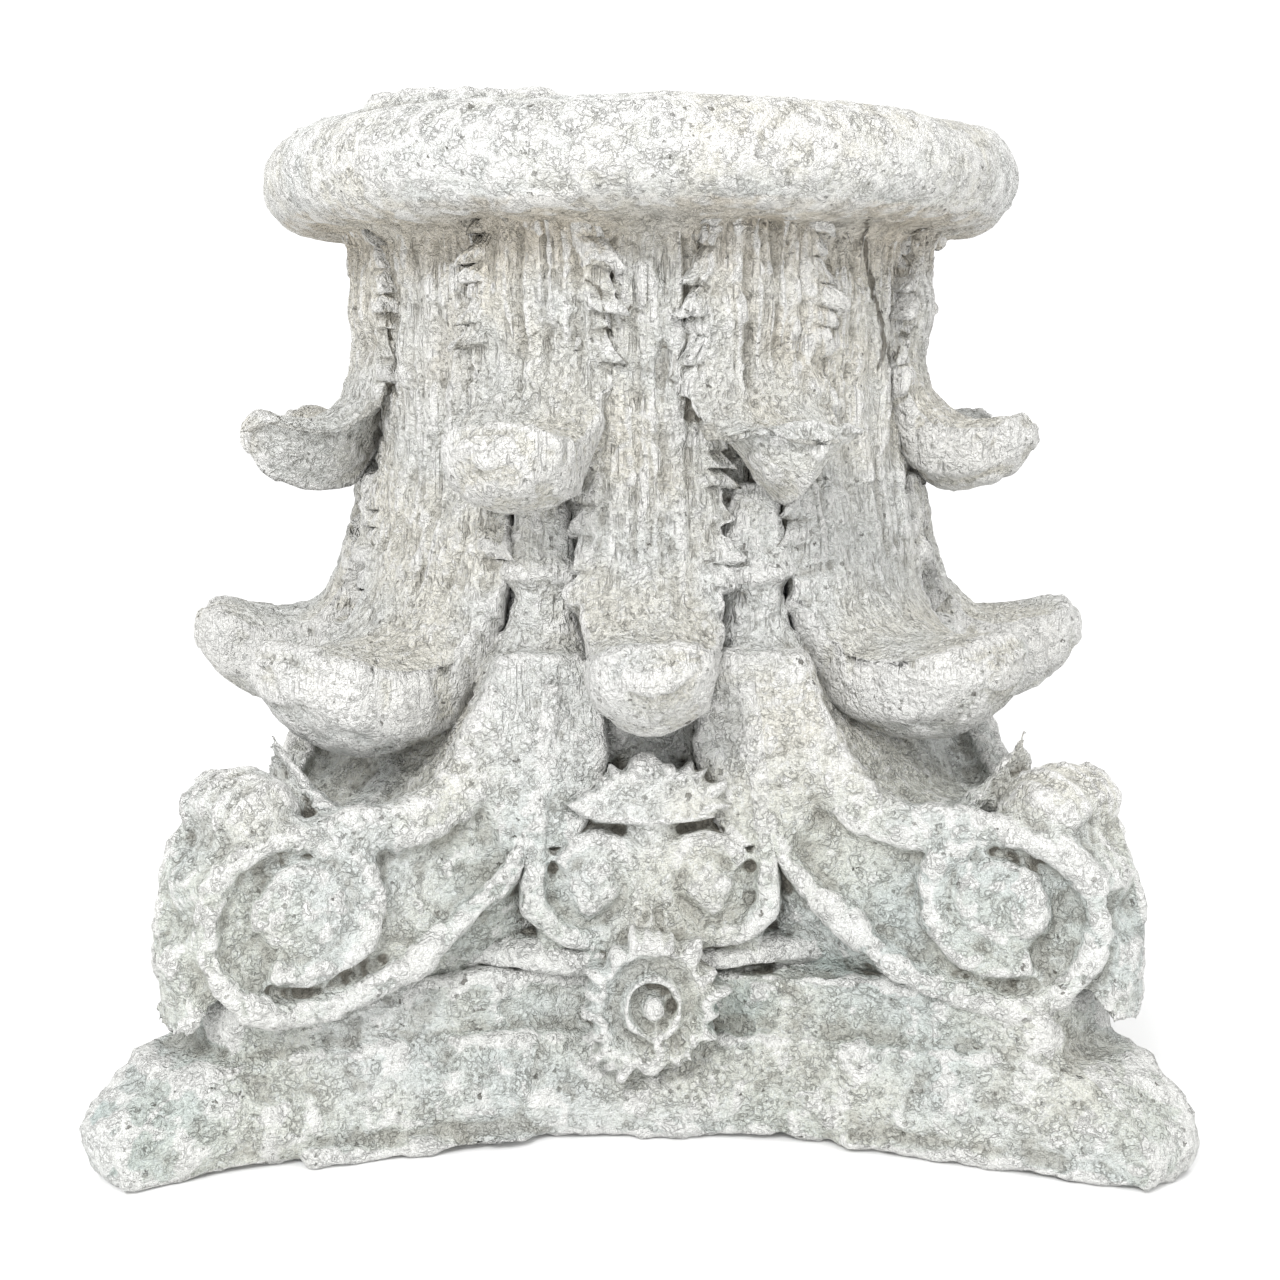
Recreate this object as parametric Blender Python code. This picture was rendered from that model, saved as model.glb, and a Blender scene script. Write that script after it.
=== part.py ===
"""A Corinthian capital cast in one piece of stone, standing upside down on its abacus.

The origin is the middle of the abacus's flat bearing face, which the capital stands on. +Z runs up from
the abacus to the necking ring, and the front looks along -Y. The four faces are alike, a quarter turn
apart, and each face is its own mirror image, so a form is made once for a half face and repeated. Lengths
are in metres and angles in degrees. A form's own proportions are shares of the named sizes.
"""

import math

import bpy
import numpy as np

# Driving sizes of the block
HEIGHT = 0.460
ABACUS_HEIGHT = 0.074
ABACUS_REACH = 0.243
ABACUS_WAIST = 0.187
HORN_WIDTH = 0.036
FASCIA_BASE = 0.047
FASCIA_INSET = 0.018
HORN_SETBACK = 0.027
RING_RADIUS = 0.191
RING_HEIGHT = 0.049
RING_BULGE = 0.025
NECK_RADIUS = 0.140
NECK_FILLET = 0.014
LIP_RADIUS = 0.182
LIP_HEIGHT = 0.012
MORTAR_RADIUS = 0.072
MORTAR_HEIGHT = 0.012
EMBED = 0.010

# Driving sizes of the carving
SHORT_LEAF_SHARE = 0.178
SHORT_LEAF_TIP = 0.066
SHORT_LEAF_HALF_WIDTH = 0.039
TALL_LEAF_SHARE = 0.436
SIDE_LEAF_TIP = 0.096
FACE_LEAF_TIP = 0.073
CORNER_LEAF_TIP = 0.091
FACE_LEAF_HALF_WIDTH = 0.038
CORNER_LEAF_HALF_WIDTH = 0.058
SHORT_LEAF_STAND_OFF = 0.014
TALL_LEAF_STAND_OFF = 0.007
LEAF_ROOT_DEPTH = 0.012
SHORT_LEAF_TURN = 20.0
VOLUTE_RADIUS = 0.044
VOLUTE_EYE_RADIUS = 0.020
VOLUTE_RIM_WIDTH = 0.0055
RIM_HEIGHT = 0.007
VOLUTE_SET_BACK = 0.008
HELIX_RADIUS = 0.029
HELIX_EYE_RADIUS = 0.012
HELIX_SPACING = 0.050
FLOWER_HALF_WIDTH = 0.031
FLOWER_HALF_HEIGHT = 0.037
FLOWER_DEPTH = 0.016
STALK_HALF_WIDTH = 0.017
STALK_TURN = 19.0
CARVING_TURN = 1.7
STALK_STAND_OFF = 0.012

# Where the parts of the block meet, worked out from the sizes above
RING_BASE = HEIGHT - RING_HEIGHT
BELL_HEIGHT = RING_BASE - ABACUS_HEIGHT
LIP_TOP = ABACUS_HEIGHT + LIP_HEIGHT
SHORT_LEAF_SHAFT = SHORT_LEAF_SHARE * BELL_HEIGHT
TALL_LEAF_SHAFT = TALL_LEAF_SHARE * BELL_HEIGHT

# How finely round forms are cut
LATHE_SIDES = 40
SIDE_STEPS = 10
EYE_SIDES = 10
SHARP_ANGLE = 35
SLIVER_MERGE = 0.40

STONE = (0.78, 0.77, 0.72, 1.0)
STONE_ROUGHNESS = 0.9

FACES = 4
QUARTER = math.pi / 2


def clear_scene():
    for obj in list(bpy.data.objects):
        bpy.data.objects.remove(obj)


def stone_material():
    material = bpy.data.materials.new("cast_stone")
    material.use_nodes = True
    shader = material.node_tree.nodes["Principled BSDF"]
    shader.inputs["Base Color"].default_value = STONE
    shader.inputs["Roughness"].default_value = STONE_ROUGHNESS
    shader.inputs["Metallic"].default_value = 0.0
    return material


def spline(points, places):
    """A smooth curve through the points, read at places from 0 to 1 (Catmull-Rom)."""
    points = np.asarray(points, float)
    ends = np.vstack([2 * points[0] - points[1], points, 2 * points[-1] - points[-2]])
    at = np.clip(np.asarray(places, float), 0, 1) * (len(points) - 1)
    first = np.minimum(at.astype(int), len(points) - 2)
    t = (at - first)[:, None]
    before, start, end, after = (ends[first + k] for k in range(4))
    return 0.5 * (
        2 * start
        + (end - before) * t
        + (2 * before - 5 * start + 4 * end - after) * t**2
        + (3 * start - before - 3 * end + after) * t**3
    )


def turned(points, angle):
    """The points turned round the capital's axis."""
    c, s = math.cos(angle), math.sin(angle)
    return points @ np.array([[c, s, 0], [-s, c, 0], [0, 0, 1]])


def mirrored(points):
    return points * np.array([-1, 1, 1])


def loft(name, loops):
    """A closed solid through a row of loops with as many points each, with a fan over each end."""
    loops = np.asarray(loops, float)
    rows, count = loops.shape[:2]
    points = np.vstack([loops.reshape(-1, 3), loops[0].mean(0), loops[-1].mean(0)])
    first_centre, last_centre = rows * count, rows * count + 1
    faces = []
    for i in range(count):
        j = (i + 1) % count
        for row in range(rows - 1):
            a, b = row * count, (row + 1) * count
            faces.append((a + i, a + j, b + j))
            faces.append((a + i, b + j, b + i))
        last = (rows - 1) * count
        faces.append((first_centre, j, i))
        faces.append((last_centre, last + i, last + j))
    corners = points[np.array(faces)]
    if np.linalg.det(corners).sum() < 0:
        faces = [face[::-1] for face in faces]
    mesh = bpy.data.meshes.new(name)
    mesh.from_pydata(points.tolist(), [], faces)
    mesh.shade_smooth()
    mesh.set_sharp_from_angle(angle=math.radians(SHARP_ANGLE))
    obj = bpy.data.objects.new(name, mesh)
    bpy.context.scene.collection.objects.link(obj)
    return obj


# Block


def bell_radius(z):
    """Radius of the bell at a height: straight above, flaring in a hollow curve to its lip below."""
    share = np.clip((z - ABACUS_HEIGHT) / (0.45 * BELL_HEIGHT), 0, 1)
    return NECK_RADIUS + (LIP_RADIUS - 0.5 * LIP_HEIGHT - NECK_RADIUS) * (1 - share) ** 2.6


def core():
    """The bell with its lip, the neck and the ring, turned about the axis."""
    profile = [
        (LIP_RADIUS - 1.8 * LIP_HEIGHT, ABACUS_HEIGHT - EMBED),
        (LIP_RADIUS - 0.2 * LIP_HEIGHT, ABACUS_HEIGHT + 0.2 * LIP_HEIGHT),
        (LIP_RADIUS, ABACUS_HEIGHT + 0.5 * LIP_HEIGHT),
        (LIP_RADIUS - 0.3 * LIP_HEIGHT, LIP_TOP),
    ]
    for share in (0.02, 0.10, 0.22, 0.45):
        z = LIP_TOP + share * BELL_HEIGHT
        profile.append((float(bell_radius(z)) - 0.25 * LIP_HEIGHT, z))
    profile.append((NECK_RADIUS, RING_BASE - NECK_FILLET))
    centre_radius, centre_height = RING_RADIUS - RING_BULGE, RING_BASE + RING_HEIGHT / 2
    profile.append((NECK_RADIUS + 0.6 * (centre_radius - NECK_RADIUS), RING_BASE - 0.2 * NECK_FILLET))
    for degrees in (-90, -50, -20, 10, 40, 65, 90):
        swing = math.radians(degrees)
        out, up = RING_BULGE * math.cos(swing), RING_HEIGHT / 2 * math.sin(swing)
        profile.append((centre_radius + out, centre_height + up))
    turn = (np.arange(LATHE_SIDES) + 0.5) * 2 * math.pi / LATHE_SIDES
    loops = [
        np.column_stack([radius * np.sin(turn), -radius * np.cos(turn), np.full(LATHE_SIDES, z)])
        for radius, z in profile
    ]
    return loft("bell_and_ring", loops)


def hollow_side(x, waist, corner):
    """Distance from the axis plane to a hollow side at x: an arc from its waist to its corner (x, y)."""
    rise = corner[1] - waist
    radius = (corner[0] ** 2 + rise**2) / (2 * rise)
    return waist + radius - np.sqrt(radius**2 - np.minimum(np.abs(x), corner[0]) ** 2)


def horn_corner(inset, setback):
    """The corner (x, y) of a horn's cut end at a level whose sides are inset and whose ends are set back."""
    reach = ABACUS_REACH - inset - 0.5 * setback
    return reach - HORN_WIDTH / math.sqrt(2) - 0.35 * setback, reach


def abacus():
    """Four hollow sides and four cut horns: a rounded lower moulding, a step and a plainer fascia."""
    levels = [(0.0, 0.33, 0.0), (0.10, 0.05, 0.0), (0.32, 0.0, 0.0), (0.70, 0.28, 0.22), (0.98, 0.50, 0.60)]
    levels += [(1.04, 1.0, 1.0), (ABACUS_HEIGHT / FASCIA_BASE, 1.0, 1.0)]
    rows = [
        (share * FASCIA_BASE, inset * FASCIA_INSET, back * HORN_SETBACK) for share, inset, back in levels
    ]
    loops = []
    for z, inset, setback in rows:
        corner = horn_corner(inset, setback)
        x = np.linspace(-corner[0], corner[0], SIDE_STEPS + 1)
        y = -hollow_side(x, ABACUS_WAIST - inset, corner)
        side = np.column_stack([x, y, np.full(len(x), z)])
        loops.append(np.vstack([turned(side, k * QUARTER) for k in range(FACES)]))
    return loft("abacus", loops)


def mortar_bed():
    """The low rough lump of old mortar left on the bedding face, towards its front left."""
    sides = 14
    turn = np.linspace(0, 2 * math.pi, sides, endpoint=False)
    uneven = 1 + 0.10 * np.sin(3 * turn + 1) + 0.06 * np.sin(5 * turn)
    loops = []
    for share, rise in ((1.0, -EMBED / MORTAR_HEIGHT), (0.97, 0.35), (0.72, 0.8), (0.35, 1.0)):
        radius = share * MORTAR_RADIUS * uneven
        height = HEIGHT + MORTAR_HEIGHT * (rise + (0.12 * np.sin(4 * turn) if rise > 0 else 0))
        loops.append(np.column_stack([radius * np.sin(turn), -radius * np.cos(turn), height + 0 * turn]))
    return loft("mortar_bed", np.array(loops) + np.array([-1.04, -0.76, 0]) * MORTAR_RADIUS)


# Acanthus leaves

# Shaft rows: the face's stand-off as a share of the leaf's own, the drop as a share of the shaft, and the
# half width as a share. Tip rows: the face's reach out and drop, the back's reach out and drop, all as
# shares of the tip's reach, and the half width.
LEAF_SHAFT = ((1.2, -0.04, 0.76), (0.9, 0.12, 0.84), (0.9, 0.40, 0.94), (0.95, 0.70, 1.0))
LEAF_TIP = (
    (0.15, 0.00, -0.16, 0.12, 0.98),
    (0.25, 0.31, -0.12, 0.60, 0.92),
    (0.45, 0.47, 0.20, 0.97, 0.84),
    (0.70, 0.47, 0.56, 1.02, 0.80),
    (0.90, 0.43, 0.84, 0.90, 0.68),
    (0.98, 0.50, 0.98, 0.72, 0.40),
)
LEAF_ROWS = 13
LEAF_ACROSS = np.array([-1, -0.5, 0, 0.5, 1])
LEAF_BACK = np.array([0.85, 0, -0.85])
RIB_HEIGHT = 0.003
LOBE_DEPTH = 0.10
BELLY_ROUND = 0.35


def leaf_profile(shaft, tip, stand_off, places):
    """Radius and height of a leaf's face and back on its midrib, and its half width as a share."""
    rows = []
    for out, drop, width in LEAF_SHAFT:
        z = RING_BASE - drop * shaft
        rows.append((NECK_RADIUS + out * stand_off, z, NECK_RADIUS - LEAF_ROOT_DEPTH, z, width))
    base = RING_BASE - shaft
    for face_out, face_drop, back_out, back_drop, width in LEAF_TIP:
        rows.append(
            (
                NECK_RADIUS + face_out * tip,
                base - face_drop * tip,
                NECK_RADIUS + back_out * tip,
                base - back_drop * tip,
                width,
            )
        )
    return spline(rows, places)


def leaf(name, angle, shaft, tip, stand_off, half_width, keel=0.0):
    """A leaf on the bell, whose tip turns outwards as a thick lump. keel draws its belly to a point."""
    places = np.linspace(0, 1, LEAF_ROWS)
    rows = leaf_profile(shaft, tip, stand_off, places)
    loops = []
    for i, (face_radius, face_z, back_radius, back_z, width) in enumerate(rows):
        on_shaft = np.clip((0.62 - places[i]) / 0.2, 0, 1)
        lobe = 1 + LOBE_DEPTH * (i % 2 * 2 - 1) * on_shaft
        section = []
        for u in LEAF_ACROSS:
            rib = RIB_HEIGHT * (abs(u) < 0.1) - 0.5 * RIB_HEIGHT * (0.4 < abs(u) < 0.6)
            section.append((u, 0.10 * u * u, rib * on_shaft))
        for u in LEAF_BACK:
            fall = 1 - (1 - on_shaft) * ((1 - keel) * u * u * BELLY_ROUND + keel * abs(u))
            section.append((u, fall, 0.0))
        loop = []
        for u, depth, rib in section:
            radius = face_radius + depth * (back_radius - face_radius) + rib
            z = face_z + depth * (back_z - face_z)
            swing = u * half_width * width * lobe / face_radius
            loop.append((radius * math.sin(swing), -radius * math.cos(swing), z))
        loops.append(turned(np.array(loop), angle))
    return loft(name, loops)


def leaves():
    """Eight short leaves in pairs beside each face's middle, and eight tall ones on faces and corners.

    The tall leaves of the two side faces curl out further than those of the front and the back.
    """
    made = []
    carving_turn, short_turn = math.radians(CARVING_TURN), math.radians(SHORT_LEAF_TURN)
    for k in range(FACES):
        for side in (-1, 1):
            keel = 1.0 if side > 0 else 0.0
            made.append(
                leaf(
                    f"short_leaf_{k}_{side}",
                    k * QUARTER + side * short_turn + carving_turn,
                    SHORT_LEAF_SHAFT,
                    SHORT_LEAF_TIP,
                    SHORT_LEAF_STAND_OFF,
                    SHORT_LEAF_HALF_WIDTH,
                    keel,
                )
            )
        for name, turn, tip, half_width in (
            (f"face_leaf_{k}", k, (FACE_LEAF_TIP, SIDE_LEAF_TIP)[k % 2], FACE_LEAF_HALF_WIDTH),
            (f"corner_leaf_{k}", k + 0.5, CORNER_LEAF_TIP, CORNER_LEAF_HALF_WIDTH),
        ):
            angle = turn * QUARTER + carving_turn
            made.append(leaf(name, angle, TALL_LEAF_SHAFT, tip, TALL_LEAF_STAND_OFF, half_width))
    return made


# Volutes, helices and what holds them


def face_depth(x, z):
    """Distance in front of the axis plane of the surface that the volutes and helices are carved on."""
    corner = horn_corner(FASCIA_INSET, HORN_SETBACK)
    bow = hollow_side(x, 0, (corner[0], corner[1] - ABACUS_WAIST + FASCIA_INSET))
    share = np.clip((z - ABACUS_HEIGHT) / (0.42 * BELL_HEIGHT), 0, 1)
    ease = 1 - share**2 * (3 - 2 * share)
    flare = ABACUS_WAIST - FASCIA_INSET - NECK_RADIUS - VOLUTE_SET_BACK
    return NECK_RADIUS + STALK_STAND_OFF + flare * ease + bow


def on_face(x, z, out=0.0):
    """Points of the front face's carving surface, moved out along its normal."""
    x, z = np.asarray(x, float), np.asarray(z, float)
    step = 1e-4
    slope_x = (face_depth(x + step, z) - face_depth(x - step, z)) / (2 * step)
    slope_z = (face_depth(x, z + step) - face_depth(x, z - step)) / (2 * step)
    normal = np.stack([-slope_x, -np.ones_like(x), -slope_z], axis=-1)
    normal /= np.linalg.norm(normal, axis=-1, keepdims=True)
    point = np.stack([x, -face_depth(x, z), z], axis=-1)
    return point + normal * np.asarray(out, float)[..., None]


def volute_eye():
    """(x, z) of the right-hand volute's eye, in under the horn."""
    eye_x = horn_corner(FASCIA_INSET, HORN_SETBACK)[0] - 0.56 * VOLUTE_RADIUS
    return eye_x, ABACUS_HEIGHT + 0.90 * VOLUTE_RADIUS


def stalk_place():
    """(x, z) where a stalk's collar ends and the volute and the helix spring from it."""
    stalk_x = (NECK_RADIUS + STALK_STAND_OFF) * math.sin(math.radians(STALK_TURN))
    return stalk_x, ABACUS_HEIGHT + 0.42 * BELL_HEIGHT


def helix_eye():
    """(x, z) of the right-hand helix's eye."""
    return HELIX_SPACING / 2, ABACUS_HEIGHT + 1.5 * HELIX_RADIUS


def lower_rim():
    """(x, z) of the volute's lower rim: down from the stalk, under the scroll and round it to the eye."""
    eye_x, eye_z = volute_eye()
    stalk_x, stalk_z = stalk_place()
    stem = [
        (stalk_x - 0.09 * VOLUTE_RADIUS, stalk_z - 0.40 * (stalk_z - eye_z)),
        (stalk_x + 0.10 * (eye_x - stalk_x), eye_z + 0.34 * VOLUTE_RADIUS),
        (stalk_x + 0.32 * (eye_x - stalk_x), eye_z - 0.20 * VOLUTE_RADIUS),
        (stalk_x + 0.62 * (eye_x - stalk_x), eye_z - 0.75 * VOLUTE_RADIUS),
    ]
    scroll = []
    for degrees in range(0, 391, 30):
        swing = math.radians(degrees)
        radius = VOLUTE_RADIUS * (0.62 + 0.38 * math.exp(-((degrees / 150) ** 2)))
        scroll.append((eye_x + radius * math.sin(swing), eye_z - radius * math.cos(swing)))
    return stem + scroll


def upper_rim():
    """(x, z) of the volute's upper rim: from the stalk in a hollow sweep onto the top of the scroll."""
    eye_x, eye_z = volute_eye()
    stalk_x, stalk_z = stalk_place()
    reach, drop = eye_x - stalk_x, stalk_z - eye_z
    shares = ((0.05, 0.97), (0.18, 0.74), (0.36, 0.44), (0.58, 0.31), (0.80, 0.31), (0.96, 0.28))
    return [(stalk_x + share * reach, eye_z + height * drop) for share, height in shares]


def helix_line():
    """(x, z) of a helix's rim: down from the stalk, round its scroll and up to its eye."""
    stalk_x, stalk_z = stalk_place()
    centre_x, centre_z = helix_eye()
    line = [
        (stalk_x - 0.20 * HELIX_RADIUS, stalk_z - 0.35 * HELIX_RADIUS),
        (stalk_x - 0.07 * HELIX_RADIUS, 0.5 * (stalk_z + centre_z) + 0.40 * HELIX_RADIUS),
    ]
    for degrees in range(90, -241, -30):
        swing = math.radians(degrees)
        radius = HELIX_RADIUS * (0.70 + 0.30 * np.clip((degrees + 120) / 210, 0, 1))
        line.append((centre_x + radius * math.sin(swing), centre_z - radius * math.cos(swing)))
    return line


def rim(name, line, width, height, steps):
    """A raised band along a line on the front face's carving surface. width and height are (start, end)."""
    x, z = spline(line, np.linspace(0, 1, steps)).T
    along = np.gradient(np.column_stack([x, z]), axis=0)
    across = np.column_stack([along[:, 1], -along[:, 0]])
    across /= np.linalg.norm(across, axis=1, keepdims=True)
    widths, heights = np.linspace(*width, steps), np.linspace(*height, steps)
    loops = []
    for i in range(steps):
        section = ((-1.0, -2.4), (-0.75, 0.75), (0.75, 0.75), (1.0, -2.4))
        side_x, side_z = widths[i] * across[i]
        loop = [on_face(x[i] + side * side_x, z[i] + side * side_z, rise * heights[i]) for side, rise in section]
        loops.append(loop)
    return name, np.array(loops)


def boss(name, centre, radius, rise, depth):
    """A round boss standing on the front face's carving surface."""
    turn = np.linspace(0, 2 * math.pi, EYE_SIDES, endpoint=False)
    loops = []
    for share, out in ((1.0, -depth), (1.0, 0.15 * rise), (0.78, 0.7 * rise), (0.35, rise)):
        x, z = share * radius * np.sin(turn), share * radius * np.cos(turn)
        loops.append(on_face(centre[0] + x, centre[1] + z, out + 0 * turn))
    return name, np.array(loops)


def bracket(name):
    """The mass that carries both volutes of a corner: sunk fields at its sides and a hollow web on top."""
    low = spline(lower_rim()[:5], np.linspace(0, 1, 7))
    high = spline(upper_rim(), np.linspace(0, 1, 7))
    eye_x, eye_z = volute_eye()
    diagonal = np.array([math.sqrt(0.5), -math.sqrt(0.5), 0])
    loops = []
    for i in range(7):
        share = i / 6
        low_point = on_face(low[i, 0], low[i, 1], -0.15 * RIM_HEIGHT)
        high_point = on_face(high[i, 0], high[i, 1], -0.15 * RIM_HEIGHT)
        web_start = NECK_RADIUS - 0.4 * EMBED
        web_out = web_start + share * (math.sqrt(2) * eye_x + 0.73 * VOLUTE_RADIUS - NECK_RADIUS)
        web_rise = 1.18 + 2.2 * (1 - share) ** 3 + 0.5 * share**4 - 0.70 * math.sin(math.pi * share)
        web = diagonal * web_out + np.array([0, 0, eye_z + web_rise * VOLUTE_RADIUS])
        base = 0.86 * low_point * np.array([1, 1, 0]) + np.array([0, 0, ABACUS_HEIGHT - EMBED])
        hollow = 0.5 * (high_point + web) - np.array([0, 0, 0.09 * VOLUTE_RADIUS])
        half = [base, low_point, high_point, hollow]
        other = [point[[1, 0, 2]] * np.array([-1, -1, 1]) for point in half]
        loops.append(half + [web] + other[::-1])
    return name, np.array(loops)


def scroll_drum(name):
    """The round body behind a volute's scroll, from its face in past the corner's diagonal."""
    eye_x, eye_z = volute_eye()
    turn = np.linspace(0, 2 * math.pi, 14, endpoint=False)
    fall = np.clip(np.abs(np.degrees(turn)) / 150, 0, 3)
    radius = VOLUTE_RADIUS * (0.60 + 0.36 * np.exp(-(fall**2)))
    x, z = eye_x + radius * np.sin(turn), eye_z - radius * np.cos(turn)
    front = on_face(x, z, np.full(14, -0.15 * RIM_HEIGHT))
    on_diagonal = np.array([1, -1, 0]) * 0.5 * (front[:, :1] - front[:, 1:2])
    inner = front + 1.04 * (on_diagonal - front) * np.array([1, 1, 0])
    return name, np.array([front, inner])


def corner_middle():
    """Distance from the axis, along a corner's diagonal, of the middle between its two scrolls."""
    eye_x, eye_z = volute_eye()
    return (eye_x + float(face_depth(eye_x, eye_z))) / math.sqrt(2)


def corner_heart(name):
    """The plain stone between a corner's two scrolls, from the bell to the cap and down into the abacus."""
    out_axis = np.array([1, -1, 0]) / math.sqrt(2)
    side_axis = np.array([1, 1, 0]) / math.sqrt(2)
    bottom, top = ABACUS_HEIGHT - EMBED, volute_eye()[1] + 0.60 * VOLUTE_RADIUS
    loops = []
    for out, half_width in (
        (NECK_RADIUS - EMBED, 1.20 * VOLUTE_RADIUS),
        (corner_middle() - 0.80 * VOLUTE_RADIUS, 0.85 * VOLUTE_RADIUS),
        (corner_middle(), 0.62 * VOLUTE_RADIUS),
        (corner_middle() + 0.42 * VOLUTE_RADIUS, 0.45 * VOLUTE_RADIUS),
    ):
        loop = []
        for side, z in ((-1.25, bottom), (1.25, bottom), (0.9, top), (-0.9, top)):
            loop.append(out_axis * out + side_axis * side * half_width + np.array([0, 0, z]))
        loops.append(loop)
    return name, np.array(loops)


# The corner leaf that caps both scrolls: (distance out, height) about the scroll's middle, and half width,
# as shares of VOLUTE_RADIUS.
CAP_LINE = (
    (-0.45, 1.02, 0.30),
    (0.00, 1.30, 0.55),
    (0.36, 1.28, 0.62),
    (0.64, 1.04, 0.55),
    (0.58, 0.66, 0.40),
    (0.94, 0.32, 0.36),
    (0.82, -0.08, 0.26),
    (1.12, -0.40, 0.28),
    (1.10, -0.80, 0.32),
    (1.08, -1.20, 0.42),
)


def corner_cap(name):
    eye_z = volute_eye()[1]
    middle_out = corner_middle()
    out_axis = np.array([1, -1, 0]) / math.sqrt(2)
    side_axis = np.array([1, 1, 0]) / math.sqrt(2)
    loops = []
    section = ((-1, 0.22), (-0.55, 0.04), (0, 0), (0.55, 0.04), (1, 0.22), (0.7, 0.85), (-0.7, 0.85))
    for out, up, half_width in CAP_LINE:
        outer = np.array([out, up])
        loop = []
        for side, depth in section:
            place = outer * (1 - depth) * VOLUTE_RADIUS
            point = out_axis * (middle_out + place[0]) + side_axis * side * half_width * VOLUTE_RADIUS
            loop.append(point + np.array([0, 0, eye_z + place[1]]))
        loops.append(loop)
    return name, np.array(loops)


def stalk(name):
    """The sheath, with its two collars, that a volute and a helix grow from. It widens into the bell."""
    z = stalk_place()[1]
    half_section = ((1.0, 0.25), (0.62, 0.56), (0.0, 0.68))
    section = [(-side, out) for side, out in half_section[:2]] + list(half_section[::-1])
    loops = []
    for rise, share in ((4.4, 0.70), (2.35, 0.95), (2.0, 1.10), (1.75, 0.85), (0.35, 1.00), (-0.70, 1.30)):
        half_width = share * STALK_HALF_WIDTH
        height = z + rise * STALK_HALF_WIDTH
        root = 1.8 * half_width
        loop = [(-root, EMBED - NECK_RADIUS, height)]
        loop += [(side * half_width, -NECK_RADIUS - out * half_width, height) for side, out in section]
        loops.append([*loop, (root, EMBED - NECK_RADIUS, height)])
    return name, turned(np.array(loops), math.radians(STALK_TURN))


def face_heart(name):
    """The plain stone between a face's two stalks, behind the face leaf's tip and the crown."""
    turn = np.radians(np.linspace(-STALK_TURN, STALK_TURN, 5))
    leaf_base = RING_BASE - TALL_LEAF_SHAFT
    loops = []
    for z, front in (
        (helix_eye()[1], NECK_RADIUS + 0.5 * STALK_HALF_WIDTH),
        (leaf_base - 0.3 * FACE_LEAF_TIP, NECK_RADIUS + 0.5 * STALK_HALF_WIDTH),
        (leaf_base, NECK_RADIUS - 0.2 * EMBED),
    ):
        outer = np.column_stack([front * np.sin(turn), -front * np.cos(turn), np.full(5, z)])
        inner = outer[[4, 0]] * np.array([0.8, 0.8, 1])
        loops.append(np.vstack([outer, inner]))
    return name, np.array(loops)


def shoulder(name):
    """The broad swelling under the stalk's collar, where the volute's field and the helix's stem divide."""
    x, z = stalk_place()
    side = np.array([-1, -0.6, 0, 0.6, 1])
    loops = []
    for share, width in ((0.0, 0.75), (0.08, 1.35), (0.3, 1.7), (0.62, 1.6), (0.85, 0.95)):
        height = z - share * (z - helix_eye()[1])
        across = side * width * STALK_HALF_WIDTH
        front = on_face(x + across, np.full(5, height), 0.7 * RIM_HEIGHT * (1 - side**2))
        back = on_face(x + across[[4, 0]], np.full(2, height), np.full(2, -2.5 * EMBED))
        loops.append(np.vstack([front, back]))
    return name, np.array(loops)


def helix_field(name):
    """The sunk field behind the two helices and the stem between them."""
    half_width = HELIX_SPACING / 2 + 0.9 * HELIX_RADIUS
    across = np.linspace(-1, 1, 5) * half_width
    loops = []
    for share in (0.0, 0.5, 1.0):
        z = ABACUS_HEIGHT + 0.5 * LIP_HEIGHT + share * 2.4 * HELIX_RADIUS
        front = on_face(across, np.full(5, z), -1.2 * RIM_HEIGHT)
        back = on_face(across[[4, 0]], np.full(2, z), np.full(2, -4 * EMBED))
        loops.append(np.vstack([front, back]))
    return name, np.array(loops)


def middle_stem(name):
    """The ribbed stem between the two helices, spreading towards the abacus."""
    loops = []
    side = np.array([-1, -0.5, 0, 0.5, 1])
    for share, width in ((0.0, 0.72), (0.3, 0.59), (0.7, 0.45), (1.0, 0.48)):
        z = LIP_TOP + (0.14 + 2.0 * share) * HELIX_RADIUS
        across = side * width * HELIX_RADIUS
        front = on_face(across, np.full(5, z), 0.85 * RIM_HEIGHT * (1 - side**2))
        back = on_face(across[[4, 0]], np.full(2, z), np.full(2, -3 * EMBED))
        loops.append(np.vstack([front, back]))
    return name, np.array(loops)


def palmette(name):
    """The toothed crown over the middle stem, which leans out and overhangs it."""
    loops = []
    for i, share in enumerate(np.linspace(-1, 1, 11)):
        top = 1.07 * (1 - 0.75 * share**2) - 0.24 * (i % 2)
        loop = []
        for rise, out in ((0, 0.6), (0.14, 1.0), (top, -0.3), (top, -5.0), (0, -5.0)):
            z = LIP_TOP + (2.07 + rise) * HELIX_RADIUS
            loop.append(on_face(1.17 * share * HELIX_RADIUS, z, out * RIM_HEIGHT))
        loops.append(loop)
    return name, np.array(loops)


def flower(name):
    """The toothed oval flower on the middle of an abacus side."""
    sides = 20
    turn = np.linspace(0, 2 * math.pi, sides, endpoint=False)
    tooth = 1 + 0.07 * np.cos(math.pi * np.arange(sides))
    front = ABACUS_WAIST - 0.25 * FLOWER_DEPTH
    centre_z = ABACUS_HEIGHT - 0.5 * FLOWER_DEPTH
    loops = []
    rows = ((0.95, -1.4, 0), (1.0, 0.35, 1), (0.80, 0.95, 1), (0.55, 0.45, 0), (0.28, 0.55, 0))
    rows += ((0.20, 1.05, 0),)
    for share, rise, toothed in rows:
        scale = share * (tooth if toothed else 1)
        x, z = FLOWER_HALF_WIDTH * scale * np.sin(turn), FLOWER_HALF_HEIGHT * scale * np.cos(turn)
        loops.append(np.column_stack([x, np.full(sides, -(front + rise * FLOWER_DEPTH)), centre_z + z]))
    return name, np.array(loops)


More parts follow.
